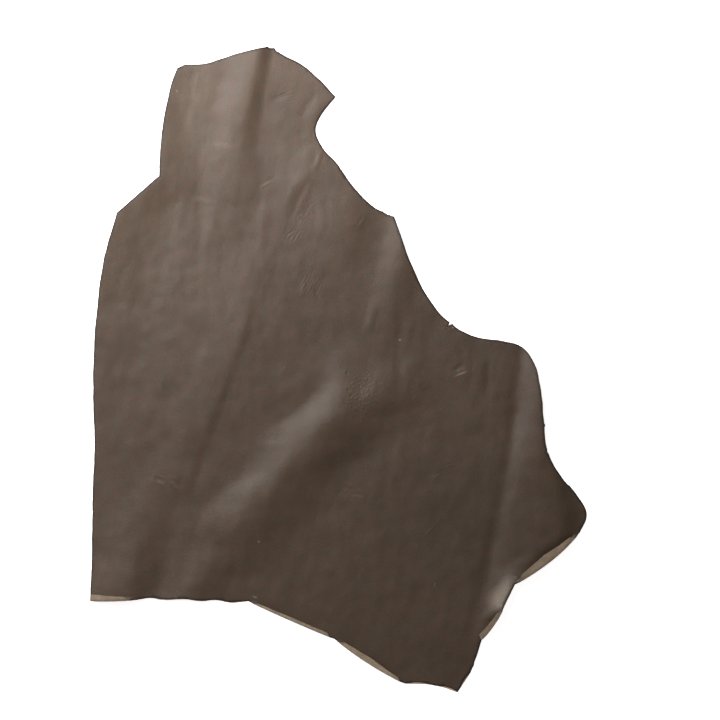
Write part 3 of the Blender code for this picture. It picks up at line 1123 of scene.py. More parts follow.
# Scars, scratches, pits and specks
MARKS = (
    Mark(-98, 377, -67, 391, 6.0, 0.40, 0.08, -0.03),
    Mark(-60, 322, -26, 312, 9.0, 0.60),
    Mark(-114, 255, -88, 268, 2.4, -0.14, 0.0, 0.08),
    Mark(-114, 250, -90, 262, 2.8, 0.12, 0.0, -0.03),
    Mark(22, 198, 37, 216, 2.2, 0.22, 0.12, 0.05),
    Mark(160, -12, 185, -2, 1.7, -0.15, 0.0, 0.25),
    Mark(156, -6, 182, 9, 6.0, 0.55, 0.0, -0.06),
    Mark(133, -155, 143, -149, 2.6, -0.30, 0.0, 0.06),
    Mark(144, -140, 164, -130, 1.6, 0.20, 0.10, 0.05),
    Mark(116, -100, 124, -101, 1.8, -0.20, 0.0, 0.07),
    Mark(3, -165, 24, -171, 3.2, 0.22, 0.12, 0.04),
    Mark(17, -174, 40, -179, 3.2, 0.22, 0.12, 0.04),
    Mark(116, -241, 144, -213, 2.4, -0.25, 0.0, 0.05),
    Mark(138, -295, 133, -312, 2.4, 0.12, 0.0, 0.16),
    Mark(-261, -153, -242, -161, 3.4, 0.26, 0.14, 0.03),
    Mark(-240, -153, -222, -170, 3.4, 0.26, 0.14, 0.03),
    Mark(-186, 318, -142, 313, 7.0, -0.16, 0.0, 0.05),
    Mark(-214, 242, -168, 235, 6.0, -0.12, 0.0, 0.04),
    Mark(-231, 394, -226, 390, 1.8, 0.15, 0.0, 0.20),
    Mark(-123, -320, -113, -323, 1.8, 0.10, 0.0, 0.20),
    Mark(86, 41, 87, 41, 1.4, 0.10, 0.0, 0.45),
    Mark(-113, -243, -112, -243, 1.4, 0.10, 0.0, 0.35),
    Mark(248, -293, 249, -293, 1.4, 0.10, 0.0, 0.30),
    Mark(12, -3, 13, -9, 2.2, 0.45, 0.0, -0.45),
    Mark(16, -16, 15, -20, 2.0, 0.40, 0.0, -0.45),
    Mark(13, -27, 14, -33, 2.2, 0.45, 0.0, -0.40),
    Mark(18, -36, 17, -40, 1.8, 0.35, 0.0, -0.35),
    Mark(7, -21, 8, -24, 1.8, 0.30, 0.0, -0.30),
    Mark(148, 62, 158, 55, 2.4, 0.35, 0.15, 0.0),
    Mark(160, 58, 162, 59, 1.4, -0.10, 0.0, 0.80),
)

# Soft darker areas of the belly end and below the middle ridge's end, and a painted highlight: the
# glint at the
# # notch, painted into the grain's colour as paler leather
DARK_AREAS_AND_PAINTED_GLINT = (
    SoftSpot(160, -210, 140, 0.27),
    SoftSpot(25, -130, 70, 0.16),
    # Painted highlight: the notch's glint, painted into the grain's colour as two paler spots
    SoftSpot(228, -323, 25, -0.26),
    SoftSpot(239, -304, 22, -0.12),
)

# Puckered grain beside the shoulder and at the middle ridge's end
PATCHES = (
    Patch(-48, 226, 20, 36, 16, Puckering.PEBBLES, 0.26, 3.6, 60),
    Patch(-64, 188, 17, 13, 30, Puckering.WRINKLES, 0.28, 3.4, 48),
    Patch(34, -36, 34, 48, 12, Puckering.PEBBLES, 0.34, 3.6, 50),
    Patch(110, -30, 22, 26, 10, Puckering.PEBBLES, 0.20, 4.6, 60),
    Patch(-40, 120, 28, 26, 14, Puckering.WRINKLES, 0.14, 4.4, 62),
    Patch(-70, 388, 20, 12, 66, Puckering.WRINKLES, 0.16, 4.2, 24),
)


@dataclass(frozen=True)
class GrainRelief:
    """Everything that stands up from the grain side or is sunk into it.

    Attributes:
        creases: soft ridges and troughs.
        marks: scars, scratches, pits and specks.
        patches: puckered patches.
        soft_spots: soft darker areas, and paler spots that are a painted highlight at the notch.
        streak_height: height of the growth streaks.
        streak_width: width of a growth streak.
        streak_stretch: how many times longer than wide a streak is.
        streak_lean: how far the streaks lean, as x for each y.
        cockle_height: height of the unevenness that runs no way in particular.
        cockle_width: size of its cells.
        wave_height: height of the broad soft waves.
        wave_width: size of their cells.
    """

    creases: tuple[Crease, ...]
    marks: tuple[Mark, ...]
    patches: tuple[Patch, ...]
    soft_spots: tuple[SoftSpot, ...]
    streak_height: float = 0.17
    streak_width: float = 10.0
    streak_stretch: float = 2.6
    streak_lean: float = 0.22
    cockle_height: float = 0.40
    cockle_width: float = 17.0
    wave_height: float = 1.0
    wave_width: float = 48.0

    MARK_MARGIN = 2.6
    CREASE_SHARE = 1.1
    STREAK_PATTERN = 11.3

    # Broad, plain and fine streaks: share of the height and of the width, and how much shorter
    STREAK_KINDS = ((1.6, 1.9, 1), (1.0, 1.0, 1), (0.3, 1 / 2.2, 2))

    def streaks(self, flat: Array) -> Array:
        """Growth streaks that run down the hide from the neck.

        Args:
            flat: rows of x and y.

        Returns:
            A height for each row.
        """
        x, y = flat.T
        across = x - self.streak_lean * y
        drawn = np.column_stack((across, y / self.streak_stretch))
        cockles = noise_at(flat, self.cockle_width, self.STREAK_PATTERN + 3)
        waves = noise_at(flat, self.wave_width, self.STREAK_PATTERN + 4)
        rise = self.cockle_height * cockles + self.wave_height * waves
        for order, (share, width, shorter) in enumerate(self.STREAK_KINDS):
            places = drawn * (1, shorter)
            streaks = noise_at(places, width * self.streak_width, self.STREAK_PATTERN + order)
            rise += self.streak_height * share * streaks
        return rise

    def height(self, flat: Array) -> Array:
        """Height of the relief at flat places."""
        parts = (*self.creases, *self.marks, *self.patches)
        return self.streaks(flat) + sum(part.height_at(flat) for part in parts)

    def tone(self, flat: Array) -> Array:
        """How much paler or darker the marks and soft spots make flat places, the notch's painted
        highlight among them.
        """
        return sum(part.tone_at(flat) for part in (*self.marks, *self.soft_spots))

    def is_fine(self, flat: Array) -> Array:
        """Whether flat places lie in a puckered patch or beside a mark."""
        found = np.zeros(len(flat), dtype=bool)
        for patch in self.patches:
            found |= patch.strength(flat) > 0.0
        for mark in self.marks:
            found |= mark.distance(flat) < self.MARK_MARGIN * mark.width
        return found

    def is_creased(self, flat: Array) -> Array:
        """Whether flat places lie on a crease."""
        found = np.zeros(len(flat), dtype=bool)
        for crease in self.creases:
            side, share = crease.across(flat)
            on_it = np.abs(side) < self.CREASE_SHARE * crease.width
            found |= on_it & (share > 0.0) & (share < 1.0)
        return found


@dataclass(frozen=True)
class Grid:
    """Distances between the points of one side of the sheet.

    Attributes:
        plain: on plain leather.
        creased: on creases.
        fine: in puckered patches and beside marks.
        rows: distances of the rows beside the edge.
    """

    plain: float
    creased: float
    fine: float
    rows: tuple[float, ...]


@dataclass
class Hide:
    """The hide as one closed sheet: grain side, flesh side and cut edge.

    Attributes:
        pattern: the flat pattern.
        folds: the folds that it lies in.
        relief: the relief of its grain side.
        slants: stretches of the edge with a slanting cut face.
        thickness: thickness of the leather.
        grain_grid: spacing of the grain side's points.
        flesh_grid: spacing of the flesh side's points.
        rim_shares: heights of the rows on the cut edge, as shares of the thickness.
        bulge: how far the cut edge stands out at half its height.
        roll_off: how far the grain side drops at the cut edge.
        roll_off_width: width over which it does.
    """

    pattern: CutPattern
    folds: Folds
    relief: GrainRelief
    slants: tuple[SlantedCut, ...]
    thickness: float = 1.7
    grain_grid: Grid = Grid(plain=4.0, creased=2.4, fine=1.2, rows=(0.8, 2.2))
    flesh_grid: Grid = Grid(plain=6.5, creased=6.5, fine=6.5, rows=(1.6,))
    rim_shares: tuple[float, ...] = (0.72, 0.38)
    bulge: float = 0.16
    roll_off: float = 0.32
    roll_off_width: float = 1.7

    SLOPE_STEP = 0.3
    PULL_WIDTH = 6.0
    PLAIN_SLANT = 0.18
    # Width of the dark line along the edge, which is partly dye and partly painted shade
    DARK_WIDTH = 4.0
    ROLLED_LEAST = 0.4
    FLESH_ROUGHNESS = 0.16
    FLESH_CELL = 2.4
    FLESH_PATTERN = 8.2
    ROUGH_FROM = 1.0
    ROUGH_AT = 4.0
    RIM_CELL = 1.8
    RIM_ROUGHNESS = 0.8
    ROW_SPACING = 1.4
    CLEARANCE = 0.72
    CURL_CLEARANCE = 0.62
    GRID_CLEARANCE = 0.7
    SHARP_ANGLE = 55

    def lay(self, flat: Array) -> Array:
        """Place points of the flat pattern in space, on the flesh side.

        Args:
            flat: rows of x and y.

        Returns:
            Rows of x, y and z.
        """
        laid = np.column_stack((flat, self.folds.height(flat)))
        for curl in self.pattern.curls:
            curl.bend(flat, laid, self.folds)
        return laid

    def facing(self, flat: Array) -> Array:
        """Unit directions from the flesh side to the grain side."""
        right, up = np.eye(2) * self.SLOPE_STEP
        across = self.lay(flat + right) - self.lay(flat - right)
        along = self.lay(flat + up) - self.lay(flat - up)
        normal = np.cross(across, along)
        return normal / np.linalg.norm(normal, axis=1, keepdims=True)

    def spread(self, grid: Grid) -> Array:
        """Spread points over the pattern.

        Args:
            grid: how close together they are.

        Returns:
            Rows of x and y. The ring's points come first, in their order.
        """
        ring = self.pattern.ring
        low = ring.min(axis=0)
        high = ring.max(axis=0)
        places = ring
        for inset in grid.rows:
            row = ring - self.pattern.out * inset
            every = max(1, round(inset / self.ROW_SPACING))
            row = row[::every]
            row = row[inside(row, ring)]
            places = clear_of(places, row, self.CLEARANCE * inset)
        clearance = EdgeCurl.ROW_STEP * self.CURL_CLEARANCE
        levels = [(curl.rows(self.pattern.step), clearance) for curl in self.pattern.curls]
        if grid.fine < grid.plain:
            fine = staggered_grid(low, high, grid.fine)
            levels.append((fine[self.relief.is_fine(fine)], grid.fine * self.GRID_CLEARANCE))
            creased = staggered_grid(low, high, grid.creased)
            creased = creased[self.relief.is_creased(creased)]
            levels.append((creased, grid.creased * self.GRID_CLEARANCE))
        levels.append((staggered_grid(low, high, grid.plain), grid.plain * self.GRID_CLEARANCE))
        for candidates, clearance in levels:
            candidates = candidates[inside(candidates, ring)]
            places = clear_of(places, candidates, clearance)
        return places

    def filled(self, places: Array) -> Array:
        """Fill the pattern with triangles.

        Args:
            places: rows of x and y, the ring's first.

        Returns:
            Three rows of places for each triangle, counterclockwise from above.
        """
        outline = list(range(len(self.pattern.ring)))[::-1]
        drawn = delaunay_2d_cdt([Vector(place) for place in places], [], [outline], 1, 1e-5)
        source = np.array([olds[0] for olds in drawn[3]])
        return source[np.array(drawn[2])]

    def slant(self) -> Array:
        """How far the cut face leans back at each point of the ring."""
        ring = self.pattern.ring
        found = np.full(len(ring), self.PLAIN_SLANT)
        for cut in self.slants:
            found = np.maximum(found, cut.width * bell(away_from(ring, cut) / cut.reach))
        return found

    def grain_side(self, flat: Array) -> tuple[Array, Array, Array]:
        """Shape the grain side.

        Args:
            flat: rows of x and y.

        Returns:
            The rows in space, their tone, and how near each is to the cut edge.
        """
        distance, nearest = self.pattern.edge_distance(flat)
        pull = self.slant()[nearest] * np.clip(1.0 - distance / self.PULL_WIDTH, 0.0, 1.0) ** 2
        pulled = flat - self.pattern.out[nearest] * pull[:, None]
        drop = self.roll_off * np.clip(1.0 - distance / self.roll_off_width, 0.0, 1.0) ** 2
        height = self.thickness + self.relief.height(flat) - drop
        space = self.lay(pulled) + self.facing(pulled) * height[:, None]
        return space, self.relief.tone(flat), np.clip(1.0 - distance / self.DARK_WIDTH, 0.0, 1.0)

    def flesh_side(self, flat: Array) -> Array:
        """Shape the flesh side, which is smooth where it rests and a little rough where not.

        Args:
            flat: rows of x and y.

        Returns:
            Rows of x, y and z.
        """
        space = self.lay(flat)
        free = smooth_step((space[:, 2] - self.ROUGH_FROM) / (self.ROUGH_AT - self.ROUGH_FROM))
        rough = 0.5 + 0.5 * noise_at(flat, self.FLESH_CELL, self.FLESH_PATTERN)
        return space + self.facing(flat) * (self.FLESH_ROUGHNESS * free * rough)[:, None]

    def rim(self, grain_ring: Array, flesh_ring: Array) -> Array:
        """Shape the cut edge between the two sides.

        Args:
            grain_ring: the grain side's edge in space.
            flesh_ring: the flesh side's edge in space.

        Returns:
            One set of rows of x, y and z for each row on the edge.
        """
        ring = self.pattern.ring
        ahead = self.lay(ring + self.pattern.out * self.SLOPE_STEP) - self.lay(ring)
        ahead /= np.linalg.norm(ahead, axis=1, keepdims=True)
        rows = []
        for index, share in enumerate(self.rim_shares):
            uneven = noise_at(ring, self.RIM_CELL, self.FLESH_PATTERN + index)
            rough = 1.0 + self.RIM_ROUGHNESS * uneven
            out = ahead * (self.bulge * sin(pi * share) * rough)[:, None]
            rows.append(flesh_ring + (grain_ring - flesh_ring) * share + out)
        return np.array(rows)

    def faces(self, grain_flat: Array, flesh_flat: Array) -> tuple[list[list[int]], list[Side]]:
        """Join the sheet's points to faces, all the way round.

        Args:
            grain_flat: the grain side's places on the pattern.
            flesh_flat: the flesh side's places on the pattern.

        Returns:
            The points of each face, and the side that it belongs to.
        """
        ring_count = len(self.pattern.ring)
        starts = [0]
        starts += [len(grain_flat) + row * ring_count for row in range(len(self.rim_shares) + 1)]
        loops = [start + np.arange(ring_count) for start in starts]
        faces = self.filled(grain_flat).tolist()
        sides = [Side.GRAIN] * len(faces)
        under = (self.filled(flesh_flat)[:, ::-1] + starts[-1]).tolist()
        faces += under
        sides += [Side.FLESH] * len(under)
        for above, below in zip(loops, loops[1:]):
            quads = np.column_stack((above, np.roll(above, -1), np.roll(below, -1), below))
            faces += quads.tolist()
            sides += [Side.CUT] * len(quads)
        return faces, sides

    def keep_values(
        self, mesh: bpy.types.Mesh, grain_flat: Array, flesh_flat: Array, tone: Array, near: Array
    ) -> None:
        """Keep on the mesh's points what the finishes read.

        Args:
            mesh: the sheet's mesh.
            grain_flat: the grain side's places on the pattern.
            flesh_flat: the flesh side's places on the pattern.
            tone: how much paler or darker each place of the grain side is.
            near: how near each place of the grain side is to the cut edge.
        """
        ring_count = len(self.pattern.ring)
        rim_flat = np.tile(self.pattern.ring, (len(self.rim_shares), 1))
        flat = np.vstack((grain_flat, rim_flat, flesh_flat))
        layers = [np.ones(len(grain_flat))]
        layers += [np.full(ring_count, share) for share in self.rim_shares]
        layers.append(np.zeros(len(flesh_flat)))
        layer = np.concatenate(layers)
        rest = len(flat) - len(grain_flat)
        raised = self.lay(flat)[:, 2] - self.folds.height(flat)
        kept = {
            "cut_place": np.column_stack((flat, layer * self.thickness)) * MM,
            "edge_layer": layer,
            "tone": np.concatenate((tone, np.zeros(rest))),
            "near_edge": np.concatenate((near, np.ones(rest))),
            "rolled": (raised > self.ROLLED_LEAST).astype(float),
        }
        for name, values in kept.items():
            kind, key = ("FLOAT_VECTOR", "vector") if values.ndim == 2 else ("FLOAT", "value")
            attribute = mesh.attributes.new(name, kind, "POINT")
            attribute.data.foreach_set(key, values.astype(np.float32).ravel())

    def build(self, finishes: dict[Side, bpy.types.Material]) -> bpy.types.Object:
        """Make the hide.

        Args:
            finishes: the material of each side.

        Returns:
            The finished object, linked to the scene.
        """
        ring_count = len(self.pattern.ring)
        grain_flat = self.spread(self.grain_grid)
        flesh_flat = self.spread(self.flesh_grid)
        grain, tone, near = self.grain_side(grain_flat)
        flesh = self.flesh_side(flesh_flat)
        rim = self.rim(grain[:ring_count], flesh[:ring_count])
        space = np.vstack((grain, *rim, flesh))
        low, high = (np.array(corner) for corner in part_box(NODE))
        middle = (space.min(axis=0) + space.max(axis=0)) / 2
        space[:, :2] += ((low + high) / 2 / MM - middle)[:2]

        faces, sides = self.faces(grain_flat, flesh_flat)
        mesh = bpy.data.meshes.new("grain_hide")
        mesh.from_pydata((space * MM).tolist(), [], faces)
        for side in Side:
            mesh.materials.append(finishes[side])
        mesh.polygons.foreach_set("material_index", [int(side) for side in sides])
        mesh.shade_smooth()
        mesh.set_sharp_from_angle(angle=radians(self.SHARP_ANGLE))
        self.keep_values(mesh, grain_flat, flesh_flat, tone, near)
        mesh.update()
        return placed("grain_hide", mesh)


class NodeWork:
    """A node tree, with short ways to add and join its nodes."""

    def __init__(self, tree: bpy.types.NodeTree) -> None:
        """Take the tree that the nodes go into."""
        self.tree = tree

    def node(self, kind: str, **settings: object) -> bpy.types.Node:
        """Add a node.

        Args:
            kind: its type.
            settings: its properties, or with a capital letter the values of its inputs.

        Returns:
            The node.
        """
        node = self.tree.nodes.new(kind)
        for name, value in settings.items():
            if name[0].isupper():
                self.feed(node.inputs[name.replace("_", " ")], value)
            else:
                setattr(node, name, value)
        return node

    def feed(self, socket: bpy.types.NodeSocket, value: object) -> None:
        """Join an output to an input, or set the input's own value."""
        if isinstance(value, bpy.types.NodeSocket):
            self.tree.links.new(value, socket)
        else:
            socket.default_value = value

    def math(self, operation: str, first: object, second: object) -> bpy.types.NodeSocket:
        """Join two numbers by an operation."""
        node = self.node("ShaderNodeMath", operation=operation)
        self.feed(node.inputs[0], first)
        self.feed(node.inputs[1], second)
        return node.outputs[0]


class Shading(NodeWork):
    """A material's node tree, which ends in its surface shader."""

    def __init__(self, name: str) -> None:
        """Start a material with its surface shader."""
        self.material = bpy.data.materials.new(name)
        self.material.use_nodes = True
        super().__init__(self.material.node_tree)
        self.surface = self.tree.nodes["Principled BSDF"]

    def dress(self, **values: object) -> None:
        """Feed inputs of the surface shader, each named with _ for a space."""
        for name, value in values.items():
            self.feed(self.surface.inputs[name.replace("_", " ")], value)

    def attribute(self, name: str, vector: bool = False) -> bpy.types.NodeSocket:
        """Read one of the piece's attributes, as a number or as a vector."""
        node = self.node("ShaderNodeAttribute", attribute_name=name)
        return node.outputs["Vector" if vector else "Fac"]

    def scaled(
        self, place: bpy.types.NodeSocket, turn: float, scale: Triple
    ) -> bpy.types.NodeSocket:
        """Turn a pattern's place about Z, in degrees, and stretch it."""
        turning = (0.0, 0.0, radians(turn))
        node = self.node("ShaderNodeMapping", Vector=place, Rotation=turning, Scale=scale)
        return node.outputs["Vector"]

    def noise(
        self, place: bpy.types.NodeSocket, scale: float, detail: float = 3.0
    ) -> bpy.types.NodeSocket:
        """Smooth noise, with its scale in cells a metre."""
        node = self.node("ShaderNodeTexNoise", Vector=place, Scale=scale, Detail=detail)
        return node.outputs["Fac"]

    def ranged(
        self, value: bpy.types.NodeSocket, low: float, high: float, to_low: float, to_high: float
    ) -> bpy.types.NodeSocket:
        """Map a value from one range to another, and hold it there."""
        node = self.node("ShaderNodeMapRange", Value=value)
        names = ("From Min", "From Max", "To Min", "To Max")
        for name, number in zip(names, (low, high, to_low, to_high)):
            node.inputs[name].default_value = number
        return node.outputs["Result"]

    def varied(
        self, value: bpy.types.NodeSocket, spread: float, to_low: float, to_high: float
    ) -> bpy.types.NodeSocket:
        """Map noise that lies spread to either side of 0.5 to a range, and hold it there."""
        return self.ranged(value, 0.5 - spread, 0.5 + spread, to_low, to_high)

    def mix(
        self, share: object, first: object, second: object, blend: str = "MIX"
    ) -> bpy.types.NodeSocket:
        """Mix two colours.

        Args:
            share: share of the second colour.
            first: a colour or an output.
            second: a colour or an output.
            blend: how they are mixed.

        Returns:
            The mixed colour.
        """
        node = self.node("ShaderNodeMix", data_type="RGBA", blend_type=blend)
        self.feed(node.inputs["Factor"], share)
        for socket, colour in ((node.inputs[6], first), (node.inputs[7], second)):
            self.feed(socket, colour if isinstance(colour, bpy.types.NodeSocket) else (*colour, 1.0))
        return node.outputs[2]

    def lit(self, colour: object, light: bpy.types.NodeSocket) -> bpy.types.NodeSocket:
        """Make a colour lighter or darker by a factor."""
        grey = self.node("ShaderNodeCombineXYZ", X=light, Y=light, Z=light).outputs["Vector"]
        return self.mix(1.0, colour, grey, "MULTIPLY")

    def bump(self, height: bpy.types.NodeSocket, depth: float) -> None:
        """Raise the surface by a height from 0 to 1, depth metres deep at most."""
        node = self.node("ShaderNodeBump", Height=height, Distance=depth, Strength=1.0)
        self.dress(Normal=node.outputs["Normal"])


@dataclass(frozen=True)
class GrainFinish:
    """Dressed grain: dark brown, greyer and paler towards the neck, partly its own tone and partly
    painted light, with a low sheen.

    Attributes:
        belly: colour at the belly end.
        neck: colour at the neck, paler and greyer partly as painted light.
        red: reddish cast of some patches.
        olive: olive cast of others.
        pale: colour of scars and scratches, and of the painted highlight at the notch.
        dark: colour of pits, and of the dark line along the edge, which is partly dye and partly
            painted shade.
        gloss: specular level of the dressing.
        streak_lean: lean of the growth streaks, in degrees from Y.
        drift_scale: patches a metre in which the neck's colour reaches further down.
        cast_scale: reddish and olive patches a metre.
        streak_scale: growth streaks a metre.
        cloud_scale: lighter and darker clouds a metre.
        mottle_scale: mottles a metre.
        ragged_scale: ragged bits a metre along scars and scratches.
        wear_scale: duller and glossier patches a metre.
        pore_scale: pores a metre.
        grain_scale: grain cells a metre.
        dimple_scale: soft dimples a metre.
        powder_scale: the finest grain, in cells a metre.
        depth: depth of the grain, in metres.
    """

    belly: Colour = (0.039, 0.0258, 0.0175)
    neck: Colour = (0.062, 0.0434, 0.0319)
    red: Colour = (1.10, 0.94, 0.90)
    olive: Colour = (0.93, 1.03, 0.98)
    pale: Colour = (0.40, 0.34, 0.27)
    dark: Colour = (0.016, 0.010, 0.008)
    gloss: float = 0.2
    streak_lean: float = 12.5
    drift_scale: float = 6.0
    cast_scale: float = 110.0
    streak_scale: float = 60.0
    cloud_scale: float = 32.0
    mottle_scale: float = 640.0
    ragged_scale: float = 800.0
    wear_scale: float = 24.0
    pore_scale: float = 620.0
    grain_scale: float = 900.0
    dimple_scale: float = 300.0
    powder_scale: float = 1500.0
    depth: float = 0.00011

    MOTTLE_LIGHT = (0.79, 1.21)

    def build(self) -> bpy.types.Material:
        """Make the material.

        Returns:
            The material, which reads the hide's attributes.
        """
        shade = Shading("grain_leather")
        place = shade.attribute("cut_place", vector=True)
        mottle = shade.varied(shade.noise(place, self.mottle_scale), 0.25, *self.MOTTLE_LIGHT)
        pores = shade.node("ShaderNodeTexVoronoi", Vector=place, Scale=self.pore_scale)
        pits = shade.ranged(pores.outputs["Distance"], 0.08, 0.30, 0.0, 1.0)
        colour = shade.lit(self.ground(shade, place), self.light(shade, place, mottle, pits))
        colour = self.marked(shade, place, colour)
        worn = shade.varied(shade.noise(place, self.wear_scale, 4.0), 0.2, 0.41, 0.49)
        worn = shade.math("ADD", worn, shade.ranged(mottle, *self.MOTTLE_LIGHT, 0.05, -0.03))
        shade.dress(Base_Color=colour, Roughness=worn, Specular_IOR_Level=self.gloss)
        shade.bump(self.relief(shade, place, pits), self.depth)
        return shade.material

    def ground(self, shade: Shading, place: bpy.types.NodeSocket) -> bpy.types.NodeSocket:
        """Blend the belly's colour into the neck's, with reddish and olive patches.

        Args:
            shade: the material's nodes.
            place: place on the flat pattern.

        Returns:
            The colour.
        """
        up = shade.node("ShaderNodeSeparateXYZ", Vector=place).outputs["Y"]
        drift = shade.noise(place, self.drift_scale, 2.0)
        height = shade.math("ADD", up, shade.ranged(drift, 0.0, 1.0, -0.16, 0.16))
        # The neck's paler, greyer colour is partly the hide's own tone and partly painted light
        colour = shade.mix(shade.ranged(height, 0.03, 0.42, 0.0, 1.0), self.belly, self.neck)
        cast = shade.varied(shade.noise(place, self.cast_scale, 4.0), 0.22, 0.0, 1.0)
        return shade.mix(1.0, colour, shade.mix(cast, self.red, self.olive), "MULTIPLY")

    def light(
        self,
        shade: Shading,
        place: bpy.types.NodeSocket,
        mottle: bpy.types.NodeSocket,
        pits: bpy.types.NodeSocket,
    ) -> bpy.types.NodeSocket:
        """Vary how light the grain is.

        Args:
            shade: the material's nodes.
            place: place on the flat pattern.
            mottle: how light the mottles are.
            pits: 0 in a pore and 1 between pores.

        Returns:
            A factor on the colour.
        """
        drawn_out = shade.scaled(place, self.streak_lean, (1.0, 0.3, 1.0))
        streaks = shade.varied(shade.noise(drawn_out, self.streak_scale), 0.25, 0.94, 1.06)
        clouds = shade.varied(shade.noise(place, self.cloud_scale), 0.22, 0.92, 1.08)
        light = shade.math("MULTIPLY", shade.math("MULTIPLY", streaks, clouds), mottle)
        return shade.math("MULTIPLY", light, shade.ranged(pits, 0.0, 1.0, 0.84, 1.0))

    def marked(
        self, shade: Shading, place: bpy.types.NodeSocket, colour: bpy.types.NodeSocket
    ) -> bpy.types.NodeSocket:
        """Lay the pale and dark marks, the painted highlight at the notch, and the dark line along
        the edge, partly dye and partly painted shade, over a colour.

        Args:
            shade: the material's nodes.
            place: place on the flat pattern.
            colour: the plain grain's colour.

        Returns:
            The colour with its marks.
        """
        tone = shade.attribute("tone")
        ragged = shade.varied(shade.noise(place, self.ragged_scale, 2.0), 0.2, 0.55, 1.0)
        colour = shade.mix(shade.math("MULTIPLY", tone, ragged), colour, self.pale)
        sunk = shade.math("MULTIPLY", tone, -1.0)
        # Dark line along the cut edge: partly dye, partly painted shade where the edge turns away
        # from the light
        edge = shade.ranged(shade.attribute("near_edge"), 0.25, 0.72, 0.0, 0.9)
        return shade.mix(shade.math("MAXIMUM", sunk, edge), colour, self.dark)

    def relief(
        self, shade: Shading, place: bpy.types.NodeSocket, pits: bpy.types.NodeSocket
    ) -> bpy.types.NodeSocket:
        """Add up the grain's finest relief.

        Args:
            shade: the material's nodes.
            place: place on the flat pattern.
            pits: 0 in a pore and 1 between pores.

        Returns:
            The height.
        """
        cells = shade.node("ShaderNodeTexVoronoi", feature="DISTANCE_TO_EDGE", Vector=place)
        shade.feed(cells.inputs["Scale"], self.grain_scale)
        creases = shade.ranged(cells.outputs["Distance"], 0.0, 0.16, 0.0, 1.0)
        relief = shade.math("MULTIPLY", creases, 0.5)
        powder = shade.noise(place, self.powder_scale, 4.0)
        dimples = shade.noise(place, self.dimple_scale, 2.0)
        for part, share in ((powder, 0.5), (pits, 0.5), (dimples, 1.6)):
            relief = shade.math("ADD", relief, shade.math("MULTIPLY", part, share))
        return relief


@dataclass(frozen=True)
class FleshFinish:
    """The flesh side: tan split leather with a short nap.

    Attributes:
        tan: its colour.
        brown: colour of its darker patches.
        patch_scale: patches a metre.
        fibre_scale: fibres a metre.
        fibre_turn: direction of the fibres, in degrees.
        depth: depth of the nap, in metres.
    """

    tan: Colour = (0.215, 0.156, 0.100)
    brown: Colour = (0.140, 0.098, 0.061)
    patch_scale: float = 70.0
    fibre_scale: float = 900.0
    fibre_turn: float = 35.0
    depth: float = 0.0003

    def build(self) -> bpy.types.Material:
        """Make the material.

        Returns:
            The material, which reads the hide's attributes.
        """
        shade = Shading("flesh_leather")
        place = shade.attribute("cut_place", vector=True)
        patches = shade.varied(shade.noise(place, self.patch_scale, 4.0), 0.2, 0.0, 1.0)
        combed = shade.scaled(place, self.fibre_turn, (1.0, 0.22, 1.0))
        fibres = shade.noise(combed, self.fibre_scale, 5.0)
        light = shade.varied(fibres, 0.2, 0.82, 1.16)
        colour = shade.lit(shade.mix(patches, self.tan, self.brown), light)
        shade.dress(Base_Color=colour, Roughness=shade.varied(fibres, 0.3, 0.84, 0.98))
        shade.dress(Sheen_Weight=0.25, Sheen_Roughness=0.5)
        shade.bump(fibres, self.depth)
        return shade.material


@dataclass(frozen=True)
class CutEdgeFinish:
    """The cut edge: pale fibres below a thin dark line of dressed grain.

    Attributes:
        core: colour of the cut fibres.
        curled_core: their darker colour on the curled stretches.
        dyed: colour under the grain.
        line: share of the thickness at which the dressing ends.
        blur: how far up and down it fades there.
        fibre_scale: fibres a metre.
        depth: depth of the fibres, in metres.
    """

    core: Colour = (0.420, 0.305, 0.215)
    curled_core: Colour = (0.070, 0.050, 0.036)
    dyed: Colour = (0.040, 0.025, 0.018)
    line: float = 0.78
    blur: float = 0.08
    fibre_scale: float = 1400.0
    depth: float = 0.0002

    def build(self) -> bpy.types.Material:
        """Make the material.

        Returns:
            The material, which reads the hide's attributes.
        """
        shade = Shading("cut_edge_leather")
        place = shade.attribute("cut_place", vector=True)
        flattened = shade.scaled(place, 0.0, (1.0, 1.0, 3.0))
        fibres = shade.noise(flattened, self.fibre_scale, 4.0)
        ragged = shade.varied(fibres, 0.2, -0.10, 0.10)
        layer = shade.math("ADD", shade.attribute("edge_layer"), ragged)
        dyed = shade.ranged(layer, self.line - self.blur, self.line + self.blur, 0.0, 1.0)
        core = shade.mix(shade.attribute("rolled"), self.core, self.curled_core)
        light = shade.varied(fibres, 0.2, 0.78, 1.18)
        colour = shade.lit(shade.mix(dyed, core, self.dyed), light)
        shade.dress(Base_Color=colour, Roughness=shade.varied(fibres, 0.3, 0.78, 0.95))
        shade.bump(fibres, self.depth)
        return shade.material


@dataclass(frozen=True)
class NapFinish:
    """Loose fibres of the flesh side.

    Attributes:
        tan: colour of the darker fibres.
        pale: colour of the paler fibres.
        patch_scale: patches of either a metre.
    """

    tan: Colour = (0.27, 0.205, 0.14)
    pale: Colour = (0.38, 0.305, 0.22)
    patch_scale: float = 700.0

    def build(self) -> bpy.types.Material:
        """Make the material.

        Returns:
            The material, which varies from place to place.
        """
        shade = Shading("nap_fibres")
        place = shade.node("ShaderNodeTexCoord").outputs["Object"]
        share = shade.varied(shade.noise(place, self.patch_scale, 2.0), 0.15, 0.0, 1.0)
        colour = shade.mix(share, self.tan, self.pale)
        shade.dress(Base_Color=colour, Roughness=shade.ranged(share, 0.0, 1.0, 0.8, 0.95))
        return shade.material


